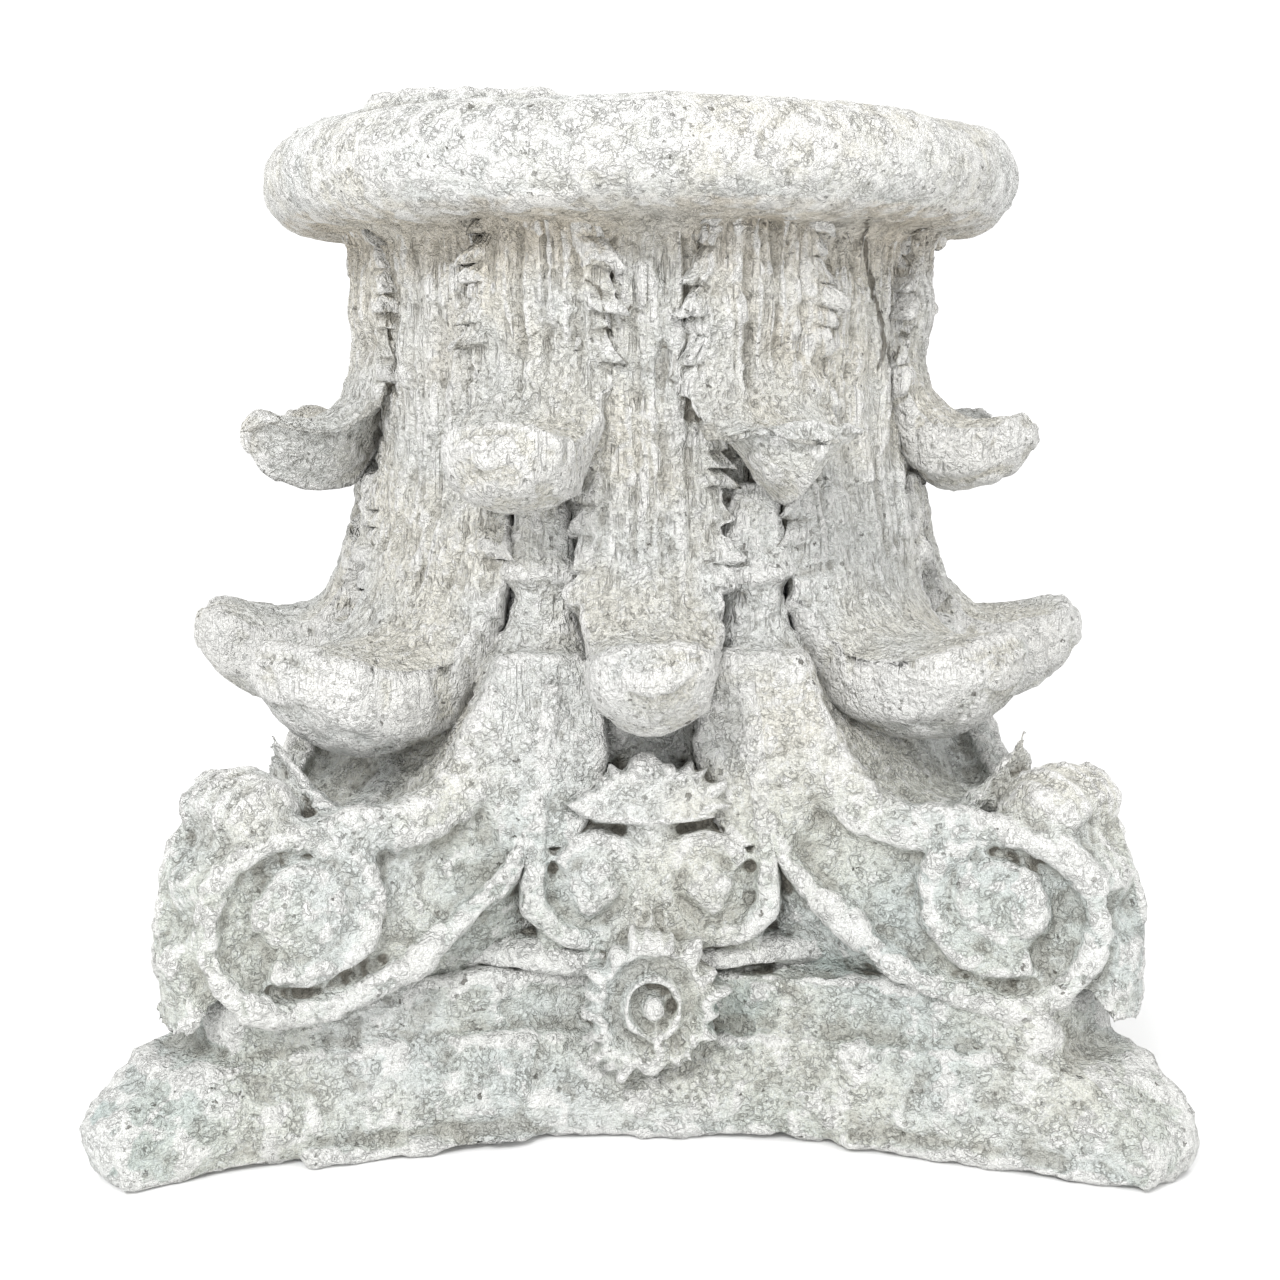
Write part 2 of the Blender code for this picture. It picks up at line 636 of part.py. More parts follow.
def carvings():
    """Every form that repeats on the four faces or corners: its name, its loops and if it is mirrored."""
    wide, thin = VOLUTE_RIM_WIDTH, 0.8 * VOLUTE_RIM_WIDTH
    mirrored_pairs = [
        rim("lower_rim", lower_rim(), (wide, wide), (RIM_HEIGHT, RIM_HEIGHT), 24),
        rim("upper_rim", upper_rim(), (1.5 * wide, wide), (RIM_HEIGHT, RIM_HEIGHT), 8),
        rim("helix", helix_line(), (wide, thin), (RIM_HEIGHT, RIM_HEIGHT), 18),
        boss("volute_eye", volute_eye(), VOLUTE_EYE_RADIUS, 1.3 * RIM_HEIGHT, EMBED),
        boss("helix_eye", helix_eye(), HELIX_EYE_RADIUS, 1.2 * RIM_HEIGHT, 1.6 * EMBED),
        scroll_drum("scroll_drum"),
        stalk("stalk"),
        shoulder("shoulder"),
    ]
    single = [
        bracket("bracket"),
        corner_heart("corner_heart"),
        face_heart("face_heart"),
        corner_cap("corner_cap"),
        helix_field("helix_field"),
        middle_stem("middle_stem"),
        palmette("palmette"),
        flower("flower"),
    ]
    return [(*form, True) for form in mirrored_pairs] + [(*form, False) for form in single]


def capital():
    """The whole casting: the bell and ring, joined with everything that is carved on them."""
    block = core()
    parts = [abacus(), mortar_bed(), *leaves()]
    for name, loops, both in carvings():
        for k in range(FACES):
            angle = k * QUARTER + math.radians(CARVING_TURN)
            parts.append(loft(f"{name}_{k}", turned(loops, angle)))
            if both:
                parts.append(loft(f"{name}_{k}_left", turned(mirrored(loops), angle)))
    helpers = bpy.data.collections.new("carving")
    bpy.context.scene.collection.children.link(helpers)
    for obj in parts:
        bpy.context.scene.collection.objects.unlink(obj)
        helpers.objects.link(obj)
        obj.hide_render = True
        obj.display_type = "WIRE"
    block.name = "capital"
    block.data.materials.append(stone_material())
    union = block.modifiers.new("join_carving", "BOOLEAN")
    union.operation = "UNION"
    union.operand_type = "COLLECTION"
    union.collection = helpers
    union.solver = "EXACT"
    block.modifiers.new("split_faces", "TRIANGULATE")
    thin = block.modifiers.new("merge_slivers", "DECIMATE")
    thin.decimate_type = "COLLAPSE"
    thin.ratio = SLIVER_MERGE
    return block


clear_scene()
capital()
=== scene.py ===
"""A weathered cast stone Corinthian capital, standing upside down on its abacus.

The capital is one casting. It is drawn as several meshes only to keep each of them light: the abacus,
the bell, the ring, the rows of leaves, the scrolls of each corner and the ornament of each face. Lengths
here are millimetres of the nominal block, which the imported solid's width turns into metres.
"""

import math

import bpy
import numpy as np
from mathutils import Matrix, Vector


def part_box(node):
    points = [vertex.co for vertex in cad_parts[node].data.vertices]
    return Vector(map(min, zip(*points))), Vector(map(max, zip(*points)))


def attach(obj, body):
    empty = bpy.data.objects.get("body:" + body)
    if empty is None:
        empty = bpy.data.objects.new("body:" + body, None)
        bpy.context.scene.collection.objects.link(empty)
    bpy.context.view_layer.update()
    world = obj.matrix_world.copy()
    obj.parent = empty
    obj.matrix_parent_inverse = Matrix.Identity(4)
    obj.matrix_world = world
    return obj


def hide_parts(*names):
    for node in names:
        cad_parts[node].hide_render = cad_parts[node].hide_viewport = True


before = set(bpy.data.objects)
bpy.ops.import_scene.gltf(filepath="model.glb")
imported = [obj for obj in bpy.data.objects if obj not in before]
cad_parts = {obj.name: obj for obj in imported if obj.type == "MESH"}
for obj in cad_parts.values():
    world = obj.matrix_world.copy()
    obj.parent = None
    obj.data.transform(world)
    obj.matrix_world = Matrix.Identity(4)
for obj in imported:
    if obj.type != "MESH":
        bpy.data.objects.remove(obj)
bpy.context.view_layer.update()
CAD_LOW, CAD_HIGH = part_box("capital")

NOMINAL_WIDTH = 486.0
MM = (CAD_HIGH[0] - CAD_LOW[0]) / NOMINAL_WIDTH

# The block
HEIGHT = 460.0
ABACUS_HEIGHT = 74.0
ABACUS_REACH = 243.0
ABACUS_WAIST = 187.0
HORN_WIDTH = 36.0
FASCIA_BASE = 47.0
FASCIA_INSET = 18.0
HORN_SETBACK = 27.0
RING_RADIUS = 191.0
RING_HEIGHT = 49.0
RING_BULGE = 25.0
NECK_RADIUS = 140.0
NECK_FILLET = 14.0
LIP_RADIUS = 182.0
LIP_HEIGHT = 12.0
MORTAR_RADIUS = 80.0
MORTAR_HEIGHT = 12.5
RING_BASE = HEIGHT - RING_HEIGHT
BELL_HEIGHT = RING_BASE - ABACUS_HEIGHT

# The carving
CARVING_TURN = math.radians(1.7)
SHORT_LEAF_TURN = math.radians(20.0)
LEAF_ROOT_DEPTH = 12.0
STALK_STAND_OFF = 12.0
STALK_TURN = math.radians(19.0)
STALK_HALF_WIDTH = 17.0
VOLUTE_RADIUS = 44.0
VOLUTE_EYE_RADIUS = 20.0
VOLUTE_RIM_WIDTH = 5.5
RIM_HEIGHT = 7.0
HELIX_RADIUS = 27.0
HELIX_EYE_RADIUS = 12.5
HELIX_SPACING = 52.0
FLOWER_HALF_WIDTH = 31.0
FLOWER_HALF_HEIGHT = 35.0
FLOWER_DEPTH = 16.0

FACES = 4
QUARTER = math.pi / 2

# Camera: the photograph's place and lens
CAMERA_DISTANCE = 950.0
CAMERA_HEIGHT = 351.5
CAMERA_PITCH = math.radians(9.1)
CAMERA_LENS = 50.3


# Numbers and curves

# Large odd numbers that scatter whole-numbered cells
CELL_MIXERS = np.array([374761393, 668265263, 1440662683])
SEED_MIXER = 974634777
LAST_MIXER = 1274126177


def smooth_step(low, high, value):
    share = np.clip((value - low) / (high - low), 0, 1)
    return share * share * (3 - 2 * share)


def spline(points, places):
    """A smooth curve through the points, read at places from 0 to 1 (Catmull-Rom)."""
    points = np.asarray(points, float)
    ends = np.vstack([2 * points[0] - points[1], points, 2 * points[-1] - points[-2]])
    at = np.clip(np.asarray(places, float), 0, 1) * (len(points) - 1)
    first = np.minimum(at.astype(int), len(points) - 2)
    t = (at - first)[:, None]
    before, start, end, after = (ends[first + k] for k in range(4))
    return 0.5 * (
        2 * start
        + (end - before) * t
        + (2 * before - 5 * start + 4 * end - after) * t**2
        + (3 * start - before - 3 * end + after) * t**3
    )


def even_spline(points, count, measured=2):
    """The curve at evenly spaced places, and those places. Its first measured columns are lengths."""
    fine = spline(points, np.linspace(0, 1, 600))
    steps = np.linalg.norm(np.diff(fine[:, :measured], axis=0), axis=1)
    length = np.concatenate([[0], np.cumsum(steps)])
    at = np.linspace(0, length[-1], count)
    return np.column_stack([np.interp(at, length, column) for column in fine.T]), at


def full_turn(count):
    return np.linspace(0, 2 * math.pi, count, endpoint=False)


def random_at(cells, seed):
    """A number from -1 to 1 for each whole-numbered cell, the same every time."""
    mixed = (cells * CELL_MIXERS).sum(-1) + seed * SEED_MIXER
    mixed = (mixed ^ (mixed >> 13)) * LAST_MIXER
    mixed = (mixed ^ (mixed >> 16)) & 0xFFFFFF
    return mixed / 0x7FFFFF - 1.0


def on_line(values):
    """The numbers as places along one line."""
    return np.column_stack([values, 0 * values, 0 * values])


def lumps(points, size, seed):
    """Smooth noise from -1 to 1 at the points, in lumps about as wide as size."""
    at = np.asarray(points, float) / size
    cell = np.floor(at).astype(np.int64)
    t = at - cell
    t = t * t * (3 - 2 * t)
    total = np.zeros(len(at))
    for corner in range(8):
        step = np.array([corner & 1, corner >> 1 & 1, corner >> 2 & 1])
        total += np.prod(np.where(step, t, 1 - t), axis=-1) * random_at(cell + step, seed)
    return total


def fractal(points, size, seed, octaves=3):
    """Lumps upon lumps: each octave is half the size and half the height of the one before."""
    total = sum(0.5**k * lumps(points, size / 2**k, seed + 17 * k) for k in range(octaves))
    return total / (2 - 0.5 ** (octaves - 1))


def flakes(points, size, seed):
    """Scabs with torn edges, from 0 to 1.6: flat on top and falling off sharply, in two storeys."""
    field = fractal(points, size, seed, 4)
    return smooth_step(-0.05, 0.05, field) + 0.6 * smooth_step(0.27, 0.34, field)


def turned(points, angle):
    """The points turned round the capital's axis."""
    c, s = math.cos(angle), math.sin(angle)
    return points @ np.array([[c, s, 0], [-s, c, 0], [0, 0, 1]])


def mirrored(points):
    return points * np.array([-1, 1, 1])


def placed(name, data):
    obj = bpy.data.objects.new(name, data)
    bpy.context.scene.collection.objects.link(obj)
    return obj


def mesh_of(name, made):
    points, faces = made
    mesh = bpy.data.meshes.new(name)
    mesh.from_pydata(points.tolist(), [], faces)
    return mesh


# Skins: a skin is its points and its faces


def skin(loops):
    """A closed skin through a row of loops with as many points each."""
    loops = np.asarray(loops, float)
    rows, count = loops.shape[:2]
    index = np.arange(rows * count).reshape(rows, count)
    after = np.roll(index, -1, axis=1)
    quads = np.stack([index[:-1], after[:-1], after[1:], index[1:]], axis=-1).reshape(-1, 4)
    points = loops.reshape(-1, 3)
    corners = points[quads] - points.mean(0)
    middle = corners.mean(1)
    facing = np.cross(corners[:, 2] - corners[:, 0], corners[:, 3] - corners[:, 1])
    outward = np.einsum("ij,ij->", middle, facing)
    faces = quads.tolist() + [index[0][::-1].tolist(), index[-1].tolist()]
    if outward < 0:
        faces = [face[::-1] for face in faces]
    return points, faces


def domed(loops, bulge, steps=4):
    """The loops with their last one closed by a low dome."""
    loops = list(np.asarray(loops, float))
    centre = loops[-1].mean(0)
    out = centre - loops[-4].mean(0)
    out = out / np.linalg.norm(out) * bulge
    last = loops[-1]
    for k in range(1, steps + 1):
        swing = k / (steps + 0.4) * math.pi / 2
        loops.append(centre + (last - centre) * math.cos(swing) + out * math.sin(swing))
    return np.array(loops)


def joined(skins):
    points, faces, first = [], [], 0
    for part_points, part_faces in skins:
        points.append(part_points)
        faces += [[first + i for i in face] for face in part_faces]
        first += len(part_points)
    return np.vstack(points), faces


def changed(mesh, kind, **settings):
    """The mesh after one modifier, in place of the mesh itself."""
    obj = placed("worked", mesh)
    modifier = obj.modifiers.new("work", kind)
    for name, value in settings.items():
        setattr(modifier, name, value)
    graph = bpy.context.evaluated_depsgraph_get()
    made = bpy.data.meshes.new_from_object(obj.evaluated_get(graph))
    bpy.data.objects.remove(obj)
    bpy.data.meshes.remove(mesh)
    return made


def remeshed(skins, voxel):
    """The skins melted into one, with its edges softened as a casting's are."""
    return changed(mesh_of("melt", joined(skins)), "REMESH", mode="VOXEL", voxel_size=voxel)


# Shape of the block


def bell_radius(z):
    share = np.clip((z - ABACUS_HEIGHT) / (0.45 * BELL_HEIGHT), 0, 1)
    return NECK_RADIUS + (LIP_RADIUS - 6 - NECK_RADIUS) * (1 - share) ** 2.6


def hollow_side(x, waist, corner):
    """Distance from the axis plane to a hollow side at x, for an arc from its waist to its corner (x, y)."""
    rise = corner[1] - waist
    radius = (corner[0] ** 2 + rise**2) / (2 * rise)
    return waist + radius - np.sqrt(radius**2 - np.minimum(np.abs(x), corner[0]) ** 2)


def horn_corner(inset, setback):
    """The outer corner (x, y) of a horn's cut end, at a level with its sides inset and its ends set back."""
    reach = ABACUS_REACH - inset - 0.5 * setback
    return reach - HORN_WIDTH / math.sqrt(2) - 0.35 * setback, reach


def revolved(profile, sides):
    """Loops of a turned profile of (radius, height) rows."""
    turn = full_turn(sides)
    ring = np.column_stack([np.sin(turn), -np.cos(turn), np.zeros(sides)])
    return np.array([ring * [radius, radius, 0] + [0, 0, z] for radius, z in profile])


def bell():
    lip_top = ABACUS_HEIGHT + LIP_HEIGHT
    rows = [(LIP_RADIUS - 22, ABACUS_HEIGHT - 6), (LIP_RADIUS - 2, ABACUS_HEIGHT + 2)]
    rows += [(LIP_RADIUS, ABACUS_HEIGHT + 0.5 * LIP_HEIGHT), (LIP_RADIUS - 4, lip_top)]
    for share in (0.02, 0.06, 0.10, 0.16, 0.22, 0.32, 0.45, 0.70):
        z = lip_top + share * BELL_HEIGHT
        rows.append((float(bell_radius(z)) - 3, z))
    rows.append((NECK_RADIUS, RING_BASE - NECK_FILLET + 6))
    return skin(revolved(even_spline(rows, 110)[0], 400))


def mortar(points):
    """Height of the old mortar on the ring's upper bed, a rough patch towards its front left."""
    x, y = points[:, 0] + 0.85 * MORTAR_RADIUS, points[:, 1] + 0.62 * MORTAR_RADIUS
    angle, radius = np.arctan2(y, x), np.hypot(x, y)
    edge = MORTAR_RADIUS * (0.98 + 0.10 * np.sin(3 * angle + 1) + 0.06 * np.sin(5 * angle))
    edge = edge + 9 * fractal(points, 22, 5)
    from_axis = np.hypot(points[:, 0], points[:, 1])
    on_bed = smooth_step(RING_RADIUS - 22, RING_RADIUS - 32, from_axis)
    cover = smooth_step(edge + 4, edge - 7, radius) * on_bed
    return cover * MORTAR_HEIGHT * (0.62 + 0.38 * fractal(points, 17, 8, 4))


def ring():
    """The necking ring and its upper bed."""
    centre_radius, centre_height = RING_RADIUS - RING_BULGE, RING_BASE + RING_HEIGHT / 2
    rows = [(NECK_RADIUS - 8, RING_BASE - NECK_FILLET), (NECK_RADIUS, RING_BASE - NECK_FILLET + 1)]
    rows.append((NECK_RADIUS + 0.45 * (centre_radius - NECK_RADIUS), RING_BASE - 2.5))
    for degrees in (-90, -70, -50, -30, -10, 10, 30, 50, 70, 90):
        swing = math.radians(degrees)
        out, up = RING_BULGE * math.cos(swing), RING_HEIGHT / 2 * math.sin(swing)
        rows.append((centre_radius + out, centre_height + up))
    outside = even_spline(rows, 52)[0]
    bed = [(radius, HEIGHT) for radius in np.linspace(centre_radius - 3, 4, 56)]
    points, faces = skin(revolved(np.vstack([outside, bed]), 540))
    top = points[:, 2] > HEIGHT - 0.5
    points[top, 2] += mortar(points[top])
    return points, faces


def bottom_fringe(x, front):
    """How far the lower edge of the front side stands out: thin tongues of cement left by the mould."""
    left = smooth_step(-150, -142, x) * smooth_step(-44, -52, x)
    right = smooth_step(84, 92, x) * smooth_step(215, 170, x)
    return front * (9.0 * left + 6.0 * right)


# (height, how far the sides are inset, how far the horns' ends are set back)
ABACUS_LEVELS = ((0.0, 6.5, 1.0), (1.5, 3.0, 0.5), (5.0, 1.0, 0.0), (15.0, 0.0, 0.0), (24.0, 1.5, 2.0))
ABACUS_LEVELS += ((33.0, 5.0, 7.0), (41.0, 8.0, 13.0), (45.5, 9.5, 17.0), (47.0, 12.0, 21.0))
ABACUS_LEVELS += ((48.5, 16.0, 25.0), (52.0, 17.5, 27.0), (64.0, 18.0, 27.0), (71.0, 18.5, 27.5))
ABACUS_LEVELS += ((73.5, 20.5, 29.0),)


def abacus():
    """The hollow-sided slab with its cover moulding and its four cut horns."""
    loops = []
    for z, inset, setback in even_spline(ABACUS_LEVELS, 46)[0]:
        corner = horn_corner(inset, setback)
        x = np.linspace(-corner[0], corner[0], 131)
        y = -hollow_side(x, ABACUS_WAIST - inset, corner)
        low_edge = smooth_step(9, 4, z)
        loop = []
        for k in range(FACES):
            fringe = bottom_fringe(x, k == 0) * low_edge
            side = np.column_stack([x, y - fringe, np.full(len(x), z)])
            loop.append(turned(side, k * QUARTER))
            ends = turned(np.array([[corner[0], y[-1], z]]), k * QUARTER)
            following = turned(np.array([[-corner[0], y[0], z]]), (k + 1) * QUARTER)
            for share in np.linspace(0, 1, 14)[1:-1]:
                bow = 3.0 * math.sin(math.pi * share)
                middle = ends + share * (following - ends)
                loop.append(middle * (1 + bow / np.linalg.norm(middle[:, :2])) * [1, 1, 0] + [0, 0, z])
        loops.append(np.vstack(loop))
    flat = np.array([1, 1, 0])
    under = [loops[0] * flat * share for share in (0.25, 0.6, 0.85, 0.95, 0.985)]
    over = [loops[-1] * flat * share + [0, 0, ABACUS_HEIGHT] for share in np.linspace(0.99, 0.60, 20)]
    return skin(np.array(under + loops + over))


# Leaves

# Shaft: (stand-off, drop, width). Tip: (out, drop) of its face, (out, drop) of its back, and its width
LEAF_SHAFT = ((1.2, -0.04, 0.76), (0.9, 0.12, 0.84), (0.9, 0.40, 0.94), (0.95, 0.70, 1.0))
LEAF_TIP = (
    (0.15, 0.00, -0.13, 0.12, 0.98),
    (0.25, 0.31, -0.06, 0.60, 0.92),
    (0.45, 0.47, 0.20, 0.97, 0.84),
    (0.70, 0.47, 0.56, 1.02, 0.80),
    (0.90, 0.43, 0.84, 0.90, 0.68),
    (0.98, 0.50, 0.98, 0.72, 0.40),
)
GROOVES = (-0.55, -0.20, 0.16, 0.52)
GROOVE_WIDTH = 0.055
GROOVE_DEPTH = 2.0
GOUGE_SPACING = 4.2
GOUGE_DEPTH = 2.8
GOUGE_STRETCH = 0.05
TOOTH_SPACING = 12.0
TOOTH_REACH = 9.5
BELLY_ROUND = 0.35

SHORT_LEAF = {"shaft": 60, "tip": 66, "stand_off": 14, "half_width": 39, "rows": 92, "across": 71}
FACE_LEAF = {"shaft": 147, "tip": 73, "stand_off": 7, "half_width": 38, "rows": 124, "across": 71}
SIDE_LEAF = FACE_LEAF | {"tip": 96}
CORNER_LEAF = FACE_LEAF | {"tip": 91, "half_width": 56, "across": 95}


def tooth(along, seed):
    """(reach, swell) of the torn, barbed edge at a distance along it, in shares of a tooth's own size."""
    line = on_line(along)
    place = along / TOOTH_SPACING + 0.65 * lumps(line, 24, seed)
    number = np.floor(place).astype(np.int64)
    share = place - number
    size = 0.70 + 0.60 * random_at(on_line(number), seed + 3)
    reach = size * share**0.8 * smooth_step(1.0, 0.78, share) + 0.45 * fractal(line, 8, seed + 9, 2)
    return reach, size * np.sin(math.pi * np.clip(share, 0, 1)) ** 0.7


def leaf_rows(form, tip):
    """(face radius, height, back radius, height, width) of a leaf's sections, from its root to its tip."""
    rows = []
    for out, drop, width in LEAF_SHAFT:
        z = RING_BASE - drop * form["shaft"]
        rows.append((NECK_RADIUS + out * form["stand_off"], z, NECK_RADIUS - LEAF_ROOT_DEPTH, z, width))
    base = RING_BASE - form["shaft"]
    for face_out, face_drop, back_out, back_drop, width in LEAF_TIP:
        face = (NECK_RADIUS + face_out * tip, base - face_drop * tip)
        rows.append((*face, NECK_RADIUS + back_out * tip, base - back_drop * tip, width))
    return rows


def on_bell(radius, swing, z):
    """Points at a radius, an angle from the front's middle and a height."""
    return np.column_stack([radius * np.sin(swing), -radius * np.cos(swing), z])


def leaf_relief(u, half, along, on_shaft, swell, wander, seed):
    """How far a section's face stands out: ribs between its grooves, fine gouges and its swelling edge."""
    cut = 0.25 + 0.75 * on_shaft
    relief = np.zeros(len(u))
    for groove in GROOVES:
        relief -= np.exp(-(((u + wander - groove) / GROOVE_WIDTH) ** 2))
    relief *= GROOVE_DEPTH * cut
    drawn_out = np.full(len(u), along * GOUGE_STRETCH)
    streak = np.column_stack([(u + wander) * half, drawn_out, np.full(len(u), 9.0 * seed)])
    gouges = np.abs(lumps(streak, GOUGE_SPACING, seed + 5)) ** 0.6
    relief += cut * GOUGE_DEPTH * (gouges - 0.55)
    return relief + smooth_step(0.55, 1.0, np.abs(u)) * (6.0 * swell - 3.0) * (0.3 + 0.7 * on_shaft)


def leaf_back(row, form, on_shaft, keel):
    """A section's back: flat against the bell, round or keeled under the tip."""
    face_radius, face_z, back_radius, back_z, width = row
    half = form["half_width"] * width
    back_u = np.linspace(0.86, -0.86, form["across"] // 2 - 4)
    away = 1 - on_shaft
    fall = 1 - away * ((1 - keel) * back_u**2 * BELLY_ROUND + keel * np.abs(back_u))
    radius = face_radius + fall * (back_radius - face_radius)
    z = face_z + fall * (back_z - face_z)
    return on_bell(radius, back_u * half * (1 - 0.12 * on_shaft) / face_radius, z)


def leaf(angle, form, seed, keel=0.0):
    """A leaf on the bell: grooved down its face, torn along its edges, its tip a thick lump turned out."""
    tip = form["tip"] * (1 + 0.04 * float(random_at(np.array([[seed, 1, 2]]), 3)[0]))
    line, along = even_spline(leaf_rows(form, tip), form["rows"])
    tangent = np.gradient(line[:, :2], axis=0)
    tangent /= np.linalg.norm(tangent, axis=1, keepdims=True)
    normal = np.column_stack([-tangent[:, 1], tangent[:, 0]])
    base = RING_BASE - form["shaft"]
    past_shaft = line[:, 0] > NECK_RADIUS + 0.3 * tip
    shaft_end = along[np.argmin(np.abs(line[:, 1] - base) + 1e3 * past_shaft)]
    on_shaft = 1 - smooth_step(shaft_end - 4, shaft_end + 0.35 * tip, along)
    torn = 0.25 + 0.75 * (1 - smooth_step(shaft_end + 0.1 * tip, shaft_end + 0.7 * tip, along))
    edges = {side: tooth(along + 40 * side, seed + side) for side in (-1, 1)}
    u = np.linspace(-1, 1, form["across"])
    sides = np.where(u < 0, -1, 1)
    at_edge = smooth_step(0.55, 1.0, np.abs(u))
    depth = 0.10 * u * u
    loops = []
    for i, row in enumerate(line):
        face_radius, face_z, back_radius, back_z, width = row
        half = form["half_width"] * width
        reach, swell = (np.where(sides < 0, edges[-1][k][i], edges[1][k][i]) * torn[i] for k in (0, 1))
        across = np.column_stack([u * 3, np.full(len(u), along[i] / 30), u * 0 + seed])
        wander = 0.07 * lumps(across, 1, seed)
        relief = leaf_relief(u, half, along[i], on_shaft[i], swell, wander, seed)
        radius = face_radius + depth * (back_radius - face_radius) + relief * normal[i, 0]
        z = face_z + depth * (back_z - face_z) + relief * normal[i, 1] - at_edge * 4.0 * reach
        swing = (u * half + sides * at_edge * TOOTH_REACH * (reach - 0.35)) / face_radius
        front, back = on_bell(radius, swing, z), leaf_back(row, form, on_shaft[i], keel)
        wall = np.linspace(0, 1, 6)[1:-1, None]
        bulge = 2.5 * np.sin(math.pi * wall) * [1, 0, 0]
        right = front[-1] + wall * (back[0] - front[-1]) + bulge
        left = back[-1] + wall * (front[0] - back[-1]) - bulge
        loops.append(np.vstack([front, right, back, left]))
    return skin(turned(domed(loops, 4.0), angle))


def short_leaves():
    made = []
    for k in range(FACES):
        for side in (-1, 1):
            angle = k * QUARTER + side * SHORT_LEAF_TURN + CARVING_TURN
            made.append(leaf(angle, SHORT_LEAF, 10 + 2 * k + side, keel=1.0 if side > 0 else 0.0))
    return joined(made)


def tall_leaves(forms, turn, seed):
    """The four tall leaves of the faces or the corners, of the first and the second form by turns."""
    angles = [(k + turn) * QUARTER + CARVING_TURN for k in range(FACES)]
    return joined([leaf(angle, forms[k % 2], seed + k) for k, angle in enumerate(angles)])


# Scrolls and what carries them


def face_depth(x, z):
    """Distance in front of the axis plane of the surface that the volutes and helices are carved on."""
    corner = horn_corner(FASCIA_INSET, HORN_SETBACK)
    bow = hollow_side(x, 0, (corner[0], corner[1] - ABACUS_WAIST + FASCIA_INSET))
    share = np.clip((z - ABACUS_HEIGHT) / (0.42 * BELL_HEIGHT), 0, 1)
    ease = 1 - share**2 * (3 - 2 * share)
    return NECK_RADIUS + STALK_STAND_OFF + (ABACUS_WAIST - FASCIA_INSET - NECK_RADIUS - 8) * ease + bow


def on_face(x, z, out=0.0):
    """Points of the front face's carving surface, moved out along its normal."""
    x, z = np.broadcast_arrays(np.asarray(x, float), np.asarray(z, float))
    step = 0.1
    slope_x = (face_depth(x + step, z) - face_depth(x - step, z)) / (2 * step)
    slope_z = (face_depth(x, z + step) - face_depth(x, z - step)) / (2 * step)
    normal = np.stack([-slope_x, -np.ones_like(x), -slope_z], axis=-1)
    normal /= np.linalg.norm(normal, axis=-1, keepdims=True)
    point = np.stack([x, -face_depth(x, z), z], axis=-1)
    return point + normal * np.asarray(out, float)[..., None]


def slab(x, z, out, depth):
    """A level section whose front follows the carving surface and whose back lies at a depth behind it."""
    return np.vstack([on_face(x, z, out), on_face(x[[-1, 0]], z, np.full(2, -depth))])


def volute_eye():
    eye_x = horn_corner(FASCIA_INSET, HORN_SETBACK)[0] - 0.56 * VOLUTE_RADIUS
    return eye_x, ABACUS_HEIGHT + 0.90 * VOLUTE_RADIUS


def stalk_place():
    """(x, z) where a stalk's collar ends and the volute and the helix spring from it."""
    return (NECK_RADIUS + STALK_STAND_OFF) * math.sin(STALK_TURN), ABACUS_HEIGHT + 0.42 * BELL_HEIGHT


def helix_eye():
    return HELIX_SPACING / 2, ABACUS_HEIGHT + 1.5 * HELIX_RADIUS


def lower_rim():
    """(x, z) of the volute's lower rim: down from the stalk, under the scroll and round it to the eye."""
    eye_x, eye_z = volute_eye()
    stalk_x, stalk_z = stalk_place()
    stem = [
        (stalk_x - 4, stalk_z - 0.40 * (stalk_z - eye_z)),
        (stalk_x + 0.10 * (eye_x - stalk_x), eye_z + 15),
        (stalk_x + 0.32 * (eye_x - stalk_x), eye_z - 9),
        (stalk_x + 0.62 * (eye_x - stalk_x), eye_z - 33),
    ]
    scroll = []
    for degrees in range(0, 391, 30):
        swing = math.radians(degrees)
        radius = VOLUTE_RADIUS * (0.62 + 0.38 * math.exp(-((degrees / 150) ** 2)))
        scroll.append((eye_x + radius * math.sin(swing), eye_z - radius * math.cos(swing)))
    return stem + scroll


def upper_rim():
    """(x, z) of the volute's upper rim: from the stalk in a hollow sweep onto the top of the scroll."""
    eye_x, eye_z = volute_eye()
    stalk_x, stalk_z = stalk_place()
    reach, drop = eye_x - stalk_x, stalk_z - eye_z
    shares = ((0.05, 0.97), (0.18, 0.74), (0.36, 0.44), (0.58, 0.31), (0.80, 0.31), (0.96, 0.28))
    return [(stalk_x + share * reach, eye_z + height * drop) for share, height in shares]


def helix_line():
    """(x, z) of a helix's rim: down from the stalk, round by the face's middle and up to its eye."""
    stalk_x, stalk_z = stalk_place()
    centre_x, centre_z = helix_eye()
    line = [(stalk_x - 6, stalk_z - 10), (stalk_x - 2, 0.5 * (stalk_z + centre_z) + 12)]
    for degrees in range(90, -241, -30):
        swing = math.radians(degrees)
        radius = HELIX_RADIUS * (0.70 + 0.30 * np.clip((degrees + 120) / 210, 0, 1))
        line.append((centre_x + radius * math.sin(swing), centre_z - radius * math.cos(swing)))
    return line


